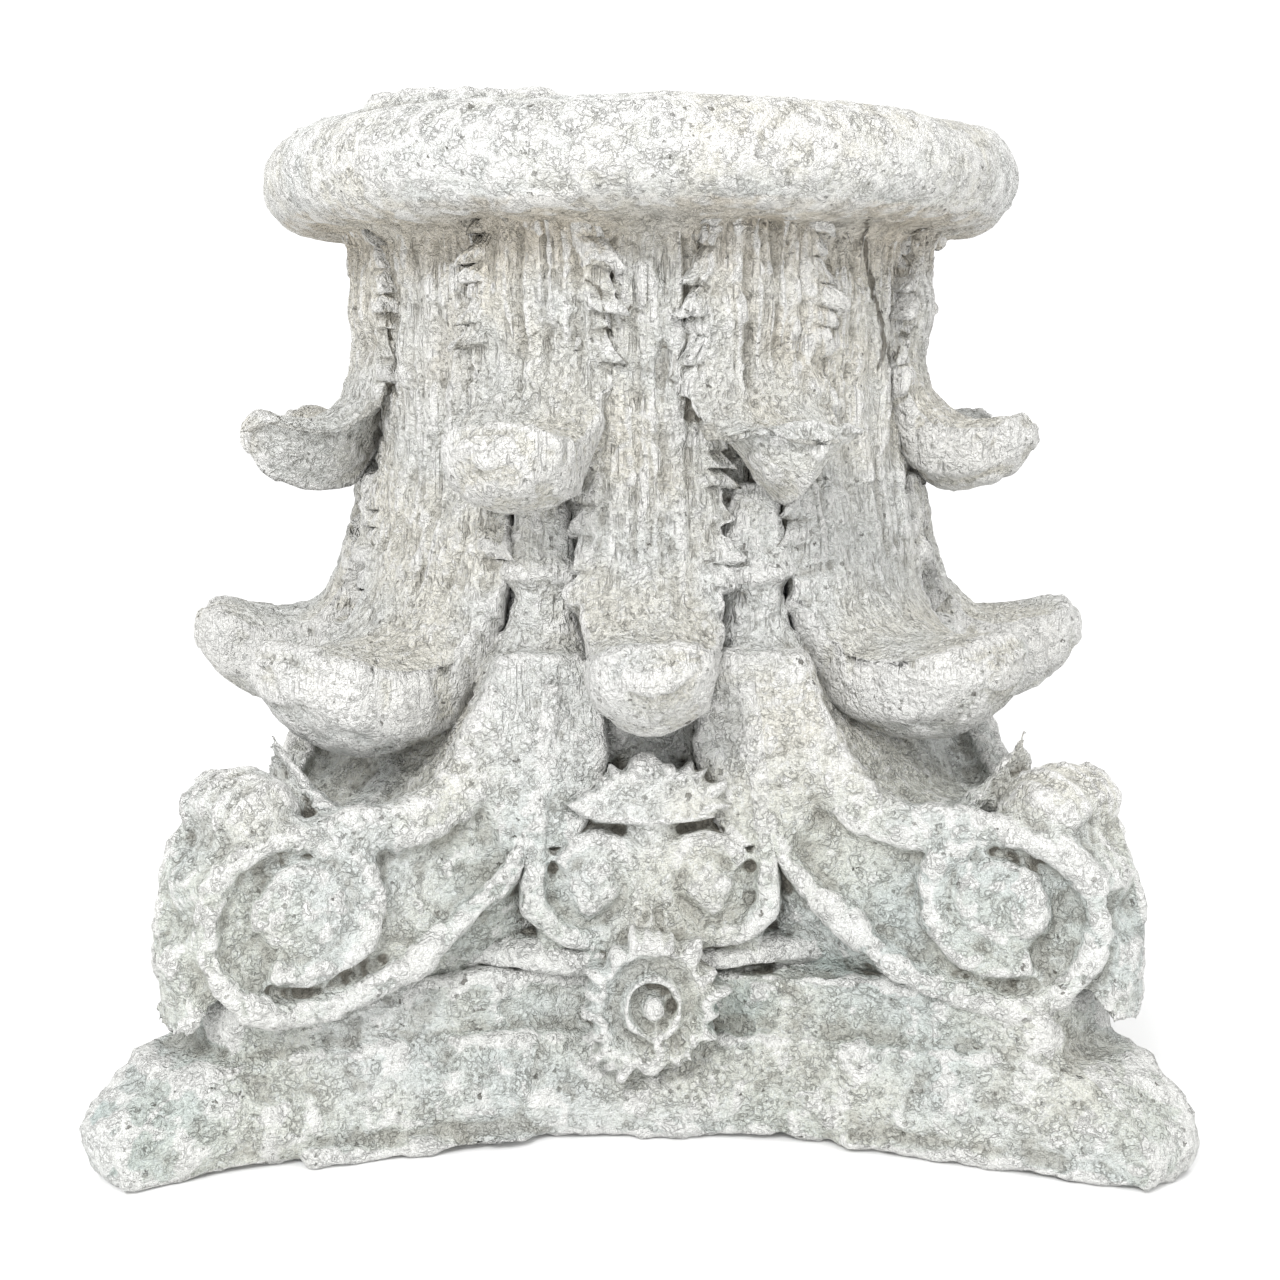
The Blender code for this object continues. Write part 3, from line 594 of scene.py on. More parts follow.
def rim(line, width, height, steps):
    """A rounded band along a line on the front face. width and height are (start, end)."""
    x, z = spline(line, np.linspace(0, 1, steps)).T
    along = np.gradient(np.column_stack([x, z]), axis=0)
    across = np.column_stack([along[:, 1], -along[:, 0]])
    across /= np.linalg.norm(across, axis=1, keepdims=True)
    swing = np.linspace(0, math.pi, 9)
    side = np.concatenate([np.cos(swing), [-1.0, 1.0]])
    rise = np.concatenate([0.15 + 0.85 * np.sin(swing) ** 0.7, [-1.6, -1.6]])
    loops = []
    for i, (half, tall) in enumerate(zip(np.linspace(*width, steps), np.linspace(*height, steps))):
        side_x, side_z = side * half * across[i, 0], side * half * across[i, 1]
        loops.append(on_face(x[i] + side_x, z[i] + side_z, rise * tall))
    return skin(loops)


def boss(centre, radius, rise, depth, square=0.0):
    """A domed boss standing on the front face's carving surface, round or worn squarish."""
    turn = full_turn(36)
    worn = radius * (1 + square * (np.cos(4 * turn + 0.9) * 0.10 + np.cos(2 * turn + 0.5) * 0.08))
    rows = [(1.0, -depth), (1.0, 0.25 * rise)]
    rows += [(math.cos(s) ** 0.8, rise * (0.25 + 0.75 * math.sin(s))) for s in np.linspace(0.25, 1.45, 7)]
    loops = []
    for share, out in rows:
        x, z = centre[0] + share * worn * np.sin(turn), centre[1] + share * worn * np.cos(turn)
        loops.append(on_face(x, z, out))
    return skin(loops)


def bent(start, middle, end, count):
    """Points on the curve that leaves start towards middle and arrives at end, without its two ends."""
    t = np.linspace(0, 1, count + 2)[1:-1, None]
    return (1 - t) ** 2 * start + 2 * t * (1 - t) * middle + t**2 * end


def bracket():
    """The mass that carries both volutes of a corner: sunk fields at its sides, a hollow web on top."""
    steps = 40
    low = spline(lower_rim()[:5], np.linspace(0, 1, steps))
    high = spline(upper_rim()[:5], np.linspace(0, 1, steps))
    eye_x, eye_z = volute_eye()
    diagonal = np.array([math.sqrt(0.5), -math.sqrt(0.5), 0])
    swap = np.array([[0, -1, 0], [-1, 0, 0], [0, 0, 1]])
    loops = []
    for i in range(steps):
        share = i / (steps - 1)
        across = np.linspace(0, 1, 7)
        field_x = low[i, 0] + across * (high[i, 0] - low[i, 0])
        field_z = low[i, 1] + across * (high[i, 1] - low[i, 1])
        field = on_face(field_x, field_z, -1 - 4 * np.sin(math.pi * across))
        web_out = NECK_RADIUS - 4 + share * (math.sqrt(2) * eye_x + 28 - NECK_RADIUS)
        web_rise = 1.18 + 2.2 * (1 - share) ** 3 + 0.5 * share**4 - 0.70 * math.sin(math.pi * share)
        web_z = eye_z + web_rise * VOLUTE_RADIUS
        web = diagonal * web_out + [0, 0, web_z]
        base = 0.86 * field[0] * [1, 1, 0] + [0, 0, ABACUS_HEIGHT - 8]
        hollow = bent(field[-1], 0.5 * (field[-1] + web) - [0, 0, 8], web, 6)
        half = np.vstack([base, field, hollow])
        loops.append(np.vstack([half, web, (half @ swap)[::-1]]))
    return skin(loops)


def scroll_drum():
    """The round body behind a volute's scroll, from its face in to the corner's diagonal."""
    eye_x, eye_z = volute_eye()
    degrees = np.linspace(-180, 180, 60, endpoint=False)
    turn = np.radians(degrees)
    radius = VOLUTE_RADIUS * (0.60 + 0.36 * np.exp(-((np.abs(degrees) / 150) ** 2)))
    front = on_face(eye_x + radius * np.sin(turn), eye_z - radius * np.cos(turn), -2.5)
    to_middle = np.array([1, -1, 0]) * 0.5 * (front[:, :1] - front[:, 1:2]) - front
    inner = to_middle * np.array([1, 1, 0])
    return skin([front + share * inner for share in np.linspace(0, 0.9, 12)])


# (out, up, half width) along the leaf over a corner, in shares of the volute's radius from its eye
CAP_LINE = (
    (-0.45, 1.02, 0.30),
    (0.00, 1.30, 0.55),
    (0.36, 1.28, 0.62),
    (0.64, 1.04, 0.55),
    (0.58, 0.66, 0.40),
    (0.94, 0.32, 0.36),
    (0.82, -0.08, 0.26),
    (1.12, -0.40, 0.28),
    (1.10, -0.80, 0.32),
    (1.08, -1.20, 0.42),
)


def corner_cap():
    """The ribbed leaf that laps over both scrolls of a corner and runs down its edge in lobes."""
    eye_x, eye_z = volute_eye()
    middle_out = (eye_x + float(face_depth(eye_x, eye_z))) / math.sqrt(2)
    out_axis = np.array([1, -1, 0]) / math.sqrt(2)
    side_axis = np.array([1, 1, 0]) / math.sqrt(2)
    swing = full_turn(40)
    side = np.cos(swing)
    depth = np.where(np.sin(swing) > 0, 0.22 * (1 - np.sin(swing)), 0.22 - 0.63 * np.sin(swing))
    ribs = 0.045 * np.cos(5 * math.pi * side) * (np.sin(swing) > 0)
    line = even_spline(CAP_LINE, 78)[0]
    loops = []
    for i, (out, up, half_width) in enumerate(line):
        flute = 1 + 0.05 * math.sin(i * 0.9)
        place_out = out * (1 - depth) + ribs * flute
        place_up = up * (1 - depth) + ribs * flute
        sideways = side_axis * (side * half_width * VOLUTE_RADIUS)[:, None]
        outward = out_axis * (middle_out + place_out * VOLUTE_RADIUS)[:, None]
        upward = np.column_stack([0 * side, 0 * side, eye_z + place_up * VOLUTE_RADIUS])
        loops.append(outward + sideways + upward)
    return skin(loops)


def stalk():
    """The ribbed sheath, with its two collars, that a volute and a helix grow from."""
    x, z = stalk_place()
    rows = ((78, 0.62), (60, 0.82), (45, 0.92), (40, 1.20), (34, 1.18))
    rows += ((29, 0.80), (10, 0.98), (4, 1.20), (-12, 1.3))
    line = even_spline(rows, 60)[0]
    turn = full_turn(54)
    loops = []
    for rise, share in line:
        rib = 1 + 0.12 * np.cos(9 * turn) * (1.25 - share)
        half_width = share * STALK_HALF_WIDTH
        depth = NECK_RADIUS * math.cos(STALK_TURN) + 0.70 * half_width * np.cos(turn) * rib
        across = x + half_width * np.sin(turn) * rib
        loops.append(np.column_stack([across, -depth, np.full(len(turn), z + rise)]))
    return skin(loops)


def shoulder():
    """The broad swelling under the stalk's collar, where the volute's field and the helix's stem divide."""
    x, z = stalk_place()
    drop = z - helix_eye()[1]
    rows = ((4.0, 0.45), (0.0, 0.85), (-0.10 * drop, 1.1), (-0.35 * drop, 1.3), (-0.60 * drop, 1.15))
    rows += ((-0.85 * drop, 0.7),)
    loops = []
    for rise, share in even_spline(rows, 34)[0]:
        side = np.linspace(-1, 1, 15)
        across = side * share * 1.35 * STALK_HALF_WIDTH
        loops.append(slab(x + across, z + rise, 6 * np.sqrt(1 - 0.96 * side**2) - 1, 25.0))
    return skin(loops)


def helix_field():
    """The sunk field behind the two helices and the stem between them."""
    across = np.linspace(-1, 1, 21) * (HELIX_SPACING / 2 + 0.9 * HELIX_RADIUS)
    loops = []
    for share in np.linspace(0, 1, 12):
        z = ABACUS_HEIGHT + 0.5 * LIP_HEIGHT + share * 2.4 * HELIX_RADIUS
        loops.append(slab(across, z, np.full(21, -0.35 * RIM_HEIGHT), 40.0))
    return skin(loops)


def middle_stem():
    """The ribbed stem between the two helices, spreading towards the abacus."""
    loops = []
    for share, half_width in even_spline(((0.0, 19), (0.25, 15), (0.6, 11.5), (1.0, 13)), 30, measured=1)[0]:
        z = ABACUS_HEIGHT + LIP_HEIGHT + 2 + share * 58
        side = np.linspace(-1, 1, 41)
        ribs = (1.0 + 2.6 * (1 - share) ** 2) * np.cos(5 * math.pi * side)
        loops.append(slab(side * half_width, z, 7 * (1 - side**2) + ribs, 30.0))
    return skin(loops)


def points_of(count, place, seed, jitter=0.5):
    """(height, nearness to a crest) of a row of uneven points, at places that count them off."""
    place = place + jitter * lumps(on_line(place * 3.1), 3.0, seed)
    number = np.floor(place).astype(np.int64)
    share = place - number
    size = 0.75 + 0.45 * random_at(on_line(number % count), seed + 2)
    crest = 1 - np.abs(2 * share - 1)
    return size * crest**0.75, crest


def palmette(seed):
    """The toothed crown over the middle stem: a fan standing proud of it, its middle point the tallest."""
    base = ABACUS_HEIGHT + LIP_HEIGHT + 58
    turn = np.linspace(-math.pi, math.pi, 200, endpoint=False)
    fan = smooth_step(1.75, 1.45, np.abs(turn))
    teeth, crest = points_of(50, 20 + 3.1 * turn, 60 + seed)
    teeth = teeth * fan
    up = np.where(np.cos(turn) > 0, 22.0 * np.abs(np.cos(turn)) ** 0.6, 3.0 * np.cos(turn))
    across = 32 * np.sign(turn) * np.abs(np.sin(turn)) ** 0.75
    loops = []
    rows = ((1.0, -34, 1), (1.0, 2, 1), (0.98, 7, 1), (0.90, 11, 0.9))
    rows += ((0.72, 12, 0.5), (0.45, 10, 0.2), (0.15, 11, 0))
    for share, out, toothed in even_spline(rows, 34)[0]:
        scale = share * (1 + toothed * (0.46 * teeth - 0.16))
        peak = 8 * toothed * np.exp(-((turn / 0.16) ** 2))
        x, z = across * scale, up * scale + share * peak
        loops.append(on_face(x, base + z, out + 2.5 * crest * fan * toothed * (out > 0)))
    return skin(loops)


def flower(seed):
    """The torn oval flower on an abacus side: a toothed rim, a raised ring, a knob and a tongue."""
    turn = full_turn(180)
    uneven = 0.35 * np.sin(3 * turn + seed) + 0.25 * np.sin(5 * turn + 2 * seed)
    teeth, crest = points_of(21, 21 * turn / (2 * math.pi) + uneven, 80 + seed, jitter=0.0)
    front = ABACUS_WAIST - 4
    centre_z = ABACUS_HEIGHT - 8
    rows = ((0.84, -1.6, 0.5), (0.90, 0.10, 1), (0.91, 0.45, 1), (0.86, 0.80, 0.9), (0.74, 0.92, 0.5))
    rows += ((0.66, 0.72, 0.2), (0.58, 0.60, 0), (0.48, 0.58, 0), (0.42, 0.98, 0), (0.34, 1.00, 0))
    rows += ((0.28, 0.50, 0), (0.22, 0.50, 0), (0.17, 1.05, 0), (0.08, 1.25, 0))
    loops = []
    for share, rise, toothed in even_spline(rows, 40)[0]:
        scale = share * (1 + toothed * (0.44 * teeth - 0.15))
        ridge = 0.16 * crest * toothed
        tongue = np.exp(-(((turn - math.pi + 0.15) / 0.28) ** 2)) * smooth_step(0.12, 0.26, share)
        tongue = tongue * smooth_step(0.78, 0.60, share)
        x, z = FLOWER_HALF_WIDTH * scale * np.sin(turn), FLOWER_HALF_HEIGHT * scale * np.cos(turn)
        y = -(front + (rise + ridge + tongue * (1.0 - rise)) * FLOWER_DEPTH)
        loops.append(np.column_stack([x, y, centre_z + z]))
    return skin(loops)


def flipped(made):
    """The same skin on the other side of its face's middle."""
    points, faces = made
    return mirrored(points), [face[::-1] for face in faces]


def both_sides(made):
    return [made, flipped(made)]


def set_at(quarter, made):
    """The skins of one face or corner turned to their place round the capital."""
    return [(turned(points, quarter * QUARTER + CARVING_TURN), faces) for points, faces in made]


def volute_parts():
    """The carving of one face's right-hand volute, which its left-hand one mirrors."""
    wide = VOLUTE_RIM_WIDTH
    return [
        rim(lower_rim(), (1.1 * wide, 1.15 * wide), (RIM_HEIGHT, 0.95 * RIM_HEIGHT), 150),
        rim(upper_rim(), (2.7 * wide, 1.5 * wide), (0.9 * RIM_HEIGHT, RIM_HEIGHT), 60),
        boss(volute_eye(), VOLUTE_EYE_RADIUS, 1.2 * RIM_HEIGHT, 12),
        scroll_drum(),
        stalk(),
        shoulder(),
    ]


def corner(k):
    """The carving of corner k: two volutes and their stalks, the web between them and the leaf over them."""
    right = volute_parts()
    left = [(turned(points, QUARTER), faces) for points, faces in map(flipped, right)]
    return set_at(k, [bracket(), corner_cap(), *right, *left])


def face_ornament(k):
    """The helices, the stem and crown between them and the flower of face k."""
    made = [helix_field(), middle_stem(), palmette(k), flower(k)]
    wide = VOLUTE_RIM_WIDTH
    made += both_sides(rim(helix_line(), (1.1 * wide, wide), (RIM_HEIGHT, RIM_HEIGHT), 90))
    made += both_sides(boss(helix_eye(), 1.45 * HELIX_EYE_RADIUS, 0.3 * RIM_HEIGHT, 16, square=0.5))
    made += both_sides(boss(helix_eye(), HELIX_EYE_RADIUS, 1.4 * RIM_HEIGHT, 16, square=1.0))
    return set_at(k, made)


# Wear: a mesh's points moved along their normals, the weather's algae and ochre, and painted shade in its
# hollows and gaps


def read_points(mesh):
    points = np.empty(len(mesh.vertices) * 3, np.float32)
    mesh.vertices.foreach_get("co", points)
    return points.reshape(-1, 3).astype(float)


def read_normals(mesh):
    normals = np.empty(len(mesh.vertices) * 3, np.float32)
    mesh.vertex_normals.foreach_get("vector", normals)
    return normals.reshape(-1, 3).astype(float)


def write_points(mesh, points):
    mesh.vertices.foreach_set("co", points.astype(np.float32).ravel())
    mesh.update()


def relaxed(mesh, values, steps):
    """values, one row for each point, averaged with their neighbours' a number of times."""
    edges = np.empty(len(mesh.edges) * 2, np.int32)
    mesh.edges.foreach_get("vertices", edges)
    a, b = edges.reshape(-1, 2).T
    size = len(values)
    count = np.bincount(a, minlength=size) + np.bincount(b, minlength=size) + 1.0
    for _ in range(steps):
        columns = []
        for column in values.T:
            total = np.bincount(a, column[b], size) + np.bincount(b, column[a], size) + column
            columns.append(total / count)
        values = np.column_stack(columns)
    return values


def weathered(mesh, swell, grit, ragged, seed):
    """Wears a mesh: broad swells, grit a few millimetres wide and torn scabs, each as high as its amount."""
    points, normals = read_points(mesh), read_normals(mesh)
    move = swell * fractal(points, 34, seed, 3) + grit * fractal(points, 6.5, seed + 20, 2)
    move += ragged * (flakes(points, 19, seed + 40) - 0.8)
    points += normals * move[:, None]
    points[:, 2] = np.maximum(points[:, 2], 0.0)
    write_points(mesh, points)


def hollowness(mesh):
    """How far each point lies behind its smoothed surroundings, in millimetres."""
    points = read_points(mesh)
    return ((relaxed(mesh, points, 10) - points) * read_normals(mesh)).sum(1)


CELL = 3.6


def open_air(stone):
    """The empty cells of a grid that lie on a straight way out, or within a few cells of one."""
    air = np.zeros(stone.shape, bool)
    for axis in range(3):
        air |= ~np.maximum.accumulate(stone, axis)
        air |= ~np.flip(np.maximum.accumulate(np.flip(stone, axis), axis), axis)
    air &= ~stone
    for _ in range(12):
        for axis in range(3):
            air |= (np.roll(air, 1, axis) | np.roll(air, -1, axis)) & ~stone
    return air


def shelter(meshes):
    """For each mesh, how little open air its points have around them: 0 in the open, 1 deep in a gap."""
    all_points = [read_points(mesh) for mesh in meshes]
    lowest = np.vstack([points.min(0) for points in all_points]).min(0) - 6 * CELL
    highest = np.vstack([points.max(0) for points in all_points]).max(0) + 6 * CELL
    shape = np.ceil((highest - lowest) / CELL).astype(int) + 1
    stone = np.zeros(shape, bool)
    for points in all_points:
        stone[tuple(((points - lowest) / CELL).astype(int).T)] = True
    stone[:, :, int(-lowest[2] / CELL) - 1] = True
    air = open_air(stone).astype(float)
    for axis in range(3):
        for _ in range(3):
            air = (np.roll(air, 1, axis) + air + np.roll(air, -1, axis)) / 3
    found = []
    for mesh, points in zip(meshes, all_points):
        ahead = points + read_normals(mesh) * 1.2 * CELL
        cells = np.clip(((ahead - lowest) / CELL).astype(int), 0, shape - 1)
        found.append(np.clip((0.46 - air[tuple(cells.T)]) / 0.30, 0, 1))
    return found


# Stains: (x, y, z, radius, strength) of the places where the photograph shows them
ALGAE = (
    (-225, -225, 15, 70, 1.0),
    (-200, -215, 55, 45, 0.6),
    (46, -186, 62, 26, 1.7),
    (-100, -150, 66, 34, 1.2),
    (98, -150, 68, 30, 1.2),
    (-60, -190, 85, 40, 0.7),
    (70, -190, 85, 40, 0.7),
    (10, -190, 10, 50, 0.35),
    (-150, -190, 105, 30, 0.5),
    (205, -120, 200, 40, 0.9),
    (190, 190, 20, 70, 0.8),
    (-200, 200, 90, 60, 0.6),
    (0, 200, 30, 80, 0.6),
)
SMEAR_PLACE = (54, -140, 411)
SMEAR_SIZE = (18, 16, 6)


# Cracks of the front, and painted shade along its dark gaps: a half width, and (x, z) places along each
CRACK_AND_GAP_SHADE_LINES = (
    (0.6, ((-25, 385), (-19, 380), (-16, 375), (-15, 362), (-7, 357))),
    (0.5, ((-4, 373), (-7, 367), (-15, 362), (-18, 355))),
    (0.7, ((7, 355), (17, 353), (14, 341), (22, 330), (20, 326))),
    (1.5, ((103, 411), (106, 393), (117, 357), (113, 343))),
)


def cracks_and_gap_shade(points):
    """1 on the cracks and on the painted gap shade of the front, and 0 a little way off them."""
    place = points[:, [0, 2]] + 1.3 * np.column_stack([lumps(points, 5, 61), lumps(points, 5, 62)])
    found = np.zeros(len(points))
    for half_width, line in CRACK_AND_GAP_SHADE_LINES:
        for start, end in zip(np.array(line[:-1], float), np.array(line[1:], float)):
            step = end - start
            share = np.clip((place - start) @ step / (step @ step), 0, 1)
            away = np.linalg.norm(place - start - share[:, None] * step, axis=1)
            found = np.maximum(found, smooth_step(half_width + 0.9, half_width, away))
    return found * (points[:, 1] < -80)


def stains_and_shade(mesh, sheltered):
    """Stores on each point the painted shade of its gaps and hollows together with the front's cracks, its
    algae and its ochre stain, each from 0 to 1.
    """
    points = read_points(mesh)
    hollow = np.clip(hollowness(mesh) / 1.4, -1, 1)
    patchy = fractal(points, 60, 91, 4)
    # Painted shade: darker where little open air reaches a point and where it lies in a hollow, then joined
    # with the cracks and the painted gap shade of the front
    shade_and_cracks = np.clip(0.80 * sheltered + 0.25 * np.clip(hollow, 0, 1), 0, 1)
    shade_and_cracks = np.maximum(shade_and_cracks, cracks_and_gap_shade(points))
    algae = 0.55 * smooth_step(190, 110, points[:, 2])
    for x, y, z, radius, strength in ALGAE:
        distance = np.linalg.norm(points - [x, y, z], axis=1)
        algae = np.maximum(algae, strength * smooth_step(1.3 * radius, 0.3 * radius, distance))
    algae *= np.clip(0.75 + 0.9 * patchy + 0.3 * sheltered, 0, 1)
    under_ring = smooth_step(RING_BASE - 34, RING_BASE - 4, points[:, 2]) * (points[:, 2] < RING_BASE + 6)
    high_up = smooth_step(235, 400, points[:, 2]) * (points[:, 2] < RING_BASE + 6)
    smear = np.linalg.norm((points - SMEAR_PLACE) / SMEAR_SIZE, axis=1)
    ochre = 0.50 * under_ring + high_up * (0.14 + 0.30 * sheltered + 0.7 * patchy)
    ochre = np.clip(np.maximum(ochre, 1.2 * smooth_step(1.2, 0.6, smear)), 0, 1)
    values = np.column_stack([shade_and_cracks, algae, ochre, 0.5 + 0.5 * hollow])
    layer = mesh.attributes.new("stains_and_shade", "FLOAT_COLOR", "POINT")
    layer.data.foreach_set("color", values.astype(np.float32).ravel())


# Stone

COOL_STONE = (0.85, 0.865, 0.84)
WARM_STONE = (0.87, 0.85, 0.77)
LIME_CRUST = (0.93, 0.93, 0.92)
DARK_SPECKS = (0.42, 0.41, 0.37)
OCHRE_STAIN = (0.70, 0.58, 0.42)
ALGAE_STAIN = (0.41, 0.53, 0.51)
CREASE_DIRT = (0.36, 0.35, 0.31)
# Painted shade: the grey where little open air reaches, the dark of the gaps (shared with the real cracks)
# and the shade of hollows
PAINTED_SHELTER_SHADE = (0.45, 0.43, 0.37)
GAP_SHADE_AND_CRACKS = (0.14, 0.125, 0.095)
PAINTED_HOLLOW_SHADE = (0.36, 0.34, 0.29)
# Paler colour for points that stand out of their surroundings
CONVEX_PALE = (0.95, 0.945, 0.92)
PIT_SHADE = (0.12, 0.11, 0.09)
RELIEF_HEIGHT = 0.0085


class Nodes:
    """Adds and links a material's nodes."""

    def __init__(self, material):
        self.tree = material.node_tree

    def add(self, kind, inputs=None, **settings):
        node = self.tree.nodes.new(kind)
        for key, value in settings.items():
            setattr(node, key, value)
        for key, value in (inputs or {}).items():
            socket = node.inputs[key]
            if isinstance(value, bpy.types.NodeSocket):
                self.tree.links.new(value, socket)
            else:
                socket.default_value = value
        return node

    def math(self, operation, first, second=0.0):
        return self.add("ShaderNodeMath", {0: first, 1: second}, operation=operation).outputs[0]

    def times(self, first, second):
        return self.math("MULTIPLY", first, second)

    def ranged(self, value, low, high, to_low=0.0, to_high=1.0):
        inputs = {"Value": value, "From Min": low, "From Max": high, "To Min": to_low, "To Max": to_high}
        return self.add("ShaderNodeMapRange", inputs, interpolation_type="SMOOTHSTEP").outputs["Result"]

    def mixed(self, share, first, second):
        """The first colour with the second over it, as far as share says."""
        node = self.add("ShaderNodeMix", data_type="RGBA")
        for index, value in ((0, share), (6, first), (7, second)):
            socket = node.inputs[index]
            if isinstance(value, bpy.types.NodeSocket):
                self.tree.links.new(value, socket)
            elif index:
                socket.default_value = (*value, 1.0)
            else:
                socket.default_value = value
        return node.outputs[2]

    def tinted(self, colour, share, strength, tint):
        return self.mixed(self.times(share, strength), colour, tint)

    def noise(self, place, scale, detail=3.0, roughness=0.55):
        inputs = {"Vector": place, "Scale": scale, "Detail": detail, "Roughness": roughness}
        return self.add("ShaderNodeTexNoise", inputs).outputs["Fac"]

    def creases(self, place, scale, width):
        """1 along thin winding lines and 0 between them."""
        away = self.math("ABSOLUTE", self.math("SUBTRACT", self.noise(place, scale, 2.0, 0.6), 0.5))
        return self.ranged(away, 0.0, width, 1.0, 0.0)

    def pits(self, place, scale, smallest, largest, kept):
        """1 inside ragged air pits and 0 around them. kept is the share of cells that hold one."""
        ragged = self.add("ShaderNodeTexNoise", {"Vector": place, "Scale": scale * 3.0, "Detail": 2.0})
        push = {0: ragged.outputs["Color"], 1: (0.9 / scale,) * 3, 2: place}
        pushed = self.add("ShaderNodeVectorMath", push, operation="MULTIPLY_ADD").outputs[0]
        cell = self.add("ShaderNodeTexVoronoi", {"Vector": pushed, "Scale": scale})
        chance = self.add("ShaderNodeSeparateColor", {"Color": cell.outputs["Color"]})
        radius = self.ranged(chance.outputs["Red"], 1.0 - kept, 1.0, smallest, largest)
        present = self.math("GREATER_THAN", chance.outputs["Red"], 1.0 - kept)
        inside = self.math("SUBTRACT", radius, cell.outputs["Distance"])
        return self.times(self.ranged(inside, -0.02, 0.03), present)


# Each scale is how many noise cells a metre holds
BROAD_SCALE = 14.0
CLUSTER_SCALE = 32.0
BLOTCH_SCALE = 120.0
GRAIN_SCALE = 380.0
WRINKLE_SCALE = 120.0
CRACK_SCALE = 260.0
STREAK_SCALE = 230.0
STREAK_SQUEEZE = (1.0, 1.0, 0.09)
BIG_PIT_SCALE = 118.0
SMALL_PIT_SCALE = 260.0


def crease_lines(nodes, place, blotch):
    """Winding creases all over, and streaks drawn down the leaves."""
    wrinkles = nodes.creases(place, WRINKLE_SCALE, 0.045)
    cracks = nodes.creases(place, CRACK_SCALE, 0.055)
    drawn = nodes.add("ShaderNodeMapping", {"Vector": place, "Scale": STREAK_SQUEEZE}).outputs[0]
    streaks = nodes.creases(drawn, STREAK_SCALE, 0.075)
    height = nodes.add("ShaderNodeSeparateXYZ", {"Vector": place}).outputs["Z"]
    above_scrolls = nodes.ranged(height, 160 * MM, 230 * MM)
    below_ring = nodes.ranged(height, 412 * MM, 400 * MM)
    among_leaves = nodes.times(above_scrolls, below_ring)
    lines = nodes.times(nodes.math("MAXIMUM", wrinkles, cracks), nodes.ranged(blotch, 0.40, 0.62))
    lines = nodes.times(lines, nodes.ranged(among_leaves, 0.0, 1.0, 1.0, 0.55))
    streaks = nodes.times(streaks, among_leaves)
    streaks = nodes.times(streaks, nodes.ranged(blotch, 0.60, 0.36))
    return nodes.math("MAXIMUM", lines, streaks)


def air_pits(nodes, place):
    """Large and small air pits, thick in some places and sparse in others."""
    big_pits = nodes.pits(place, BIG_PIT_SCALE, 0.04, 0.16, 0.42)
    small_pits = nodes.pits(place, SMALL_PIT_SCALE, 0.06, 0.30, 0.40)
    pitted = nodes.math("MAXIMUM", big_pits, nodes.times(small_pits, 0.7))
    clustered = nodes.ranged(nodes.noise(place, CLUSTER_SCALE), 0.36, 0.56, 0.10, 1.0)
    return nodes.times(pitted, clustered)


def stone_colour(nodes, place, grain, blotch, lines, pitted):
    """Cool and warm pale stone under its crust, its ochre and algae, crease lines, painted shade where
    little air reaches and in gaps and hollows, dark cracks, paler convex points and painted shade in its
    pits.
    """
    stain = nodes.add("ShaderNodeAttribute", attribute_name="stains_and_shade")
    split = nodes.add("ShaderNodeSeparateColor", {"Color": stain.outputs["Color"]})
    shade_and_cracks, algae, ochre = (split.outputs[name] for name in ("Red", "Green", "Blue"))
    hollow = stain.outputs["Alpha"]
    broad = nodes.noise(place, BROAD_SCALE, 2.0)
    # Painted shade: greyed where little open air reaches and in hollows, more in some blotches than in
    # others
    greyed = nodes.times(shade_and_cracks, nodes.ranged(blotch, 0.25, 0.65, 0.10, 0.32))
    in_gap_shade_and_cracks = nodes.ranged(nodes.math("ADD", shade_and_cracks, nodes.times(blotch, 0.4)), 0.85, 1.15)
    colour = nodes.mixed(nodes.ranged(broad, 0.38, 0.62), COOL_STONE, WARM_STONE)
    colour = nodes.tinted(colour, nodes.ranged(grain, 0.50, 0.36), 0.65, LIME_CRUST)
    colour = nodes.tinted(colour, nodes.ranged(grain, 0.54, 0.68), 0.62, DARK_SPECKS)
    colour = nodes.tinted(colour, ochre, 0.55, OCHRE_STAIN)
    colour = nodes.tinted(colour, algae, 0.62, ALGAE_STAIN)
    colour = nodes.tinted(colour, lines, 0.44, CREASE_DIRT)
    # Painted shade where little open air reaches, then painted shade in the gaps together with the dark real
    # cracks
    colour = nodes.mixed(greyed, colour, PAINTED_SHELTER_SHADE)
    colour = nodes.tinted(colour, in_gap_shade_and_cracks, 0.80, GAP_SHADE_AND_CRACKS)
    # Painted shade in hollows, by how far a point lies behind its surroundings
    colour = nodes.tinted(colour, nodes.ranged(hollow, 0.56, 0.95), 0.42, PAINTED_HOLLOW_SHADE)
    # Paler on convex points, by how far they stand out
    colour = nodes.tinted(colour, nodes.ranged(hollow, 0.46, 0.22), 0.80, CONVEX_PALE)
    return nodes.tinted(colour, pitted, 0.78, PIT_SHADE)


def stone_relief(nodes, grain, blotch, lines, pitted):
    """The normal of the rough surface: grainy and blotched, with its creases and pits sunk."""
    height = nodes.times(grain, 0.8)
    height = nodes.math("ADD", height, nodes.times(blotch, 1.6))
    height = nodes.math("SUBTRACT", height, nodes.times(lines, 0.35))
    height = nodes.math("SUBTRACT", height, nodes.times(pitted, 0.5))
    bump = {"Height": height, "Strength": 1.0, "Distance": RELIEF_HEIGHT}
    return nodes.add("ShaderNodeBump", bump).outputs["Normal"]


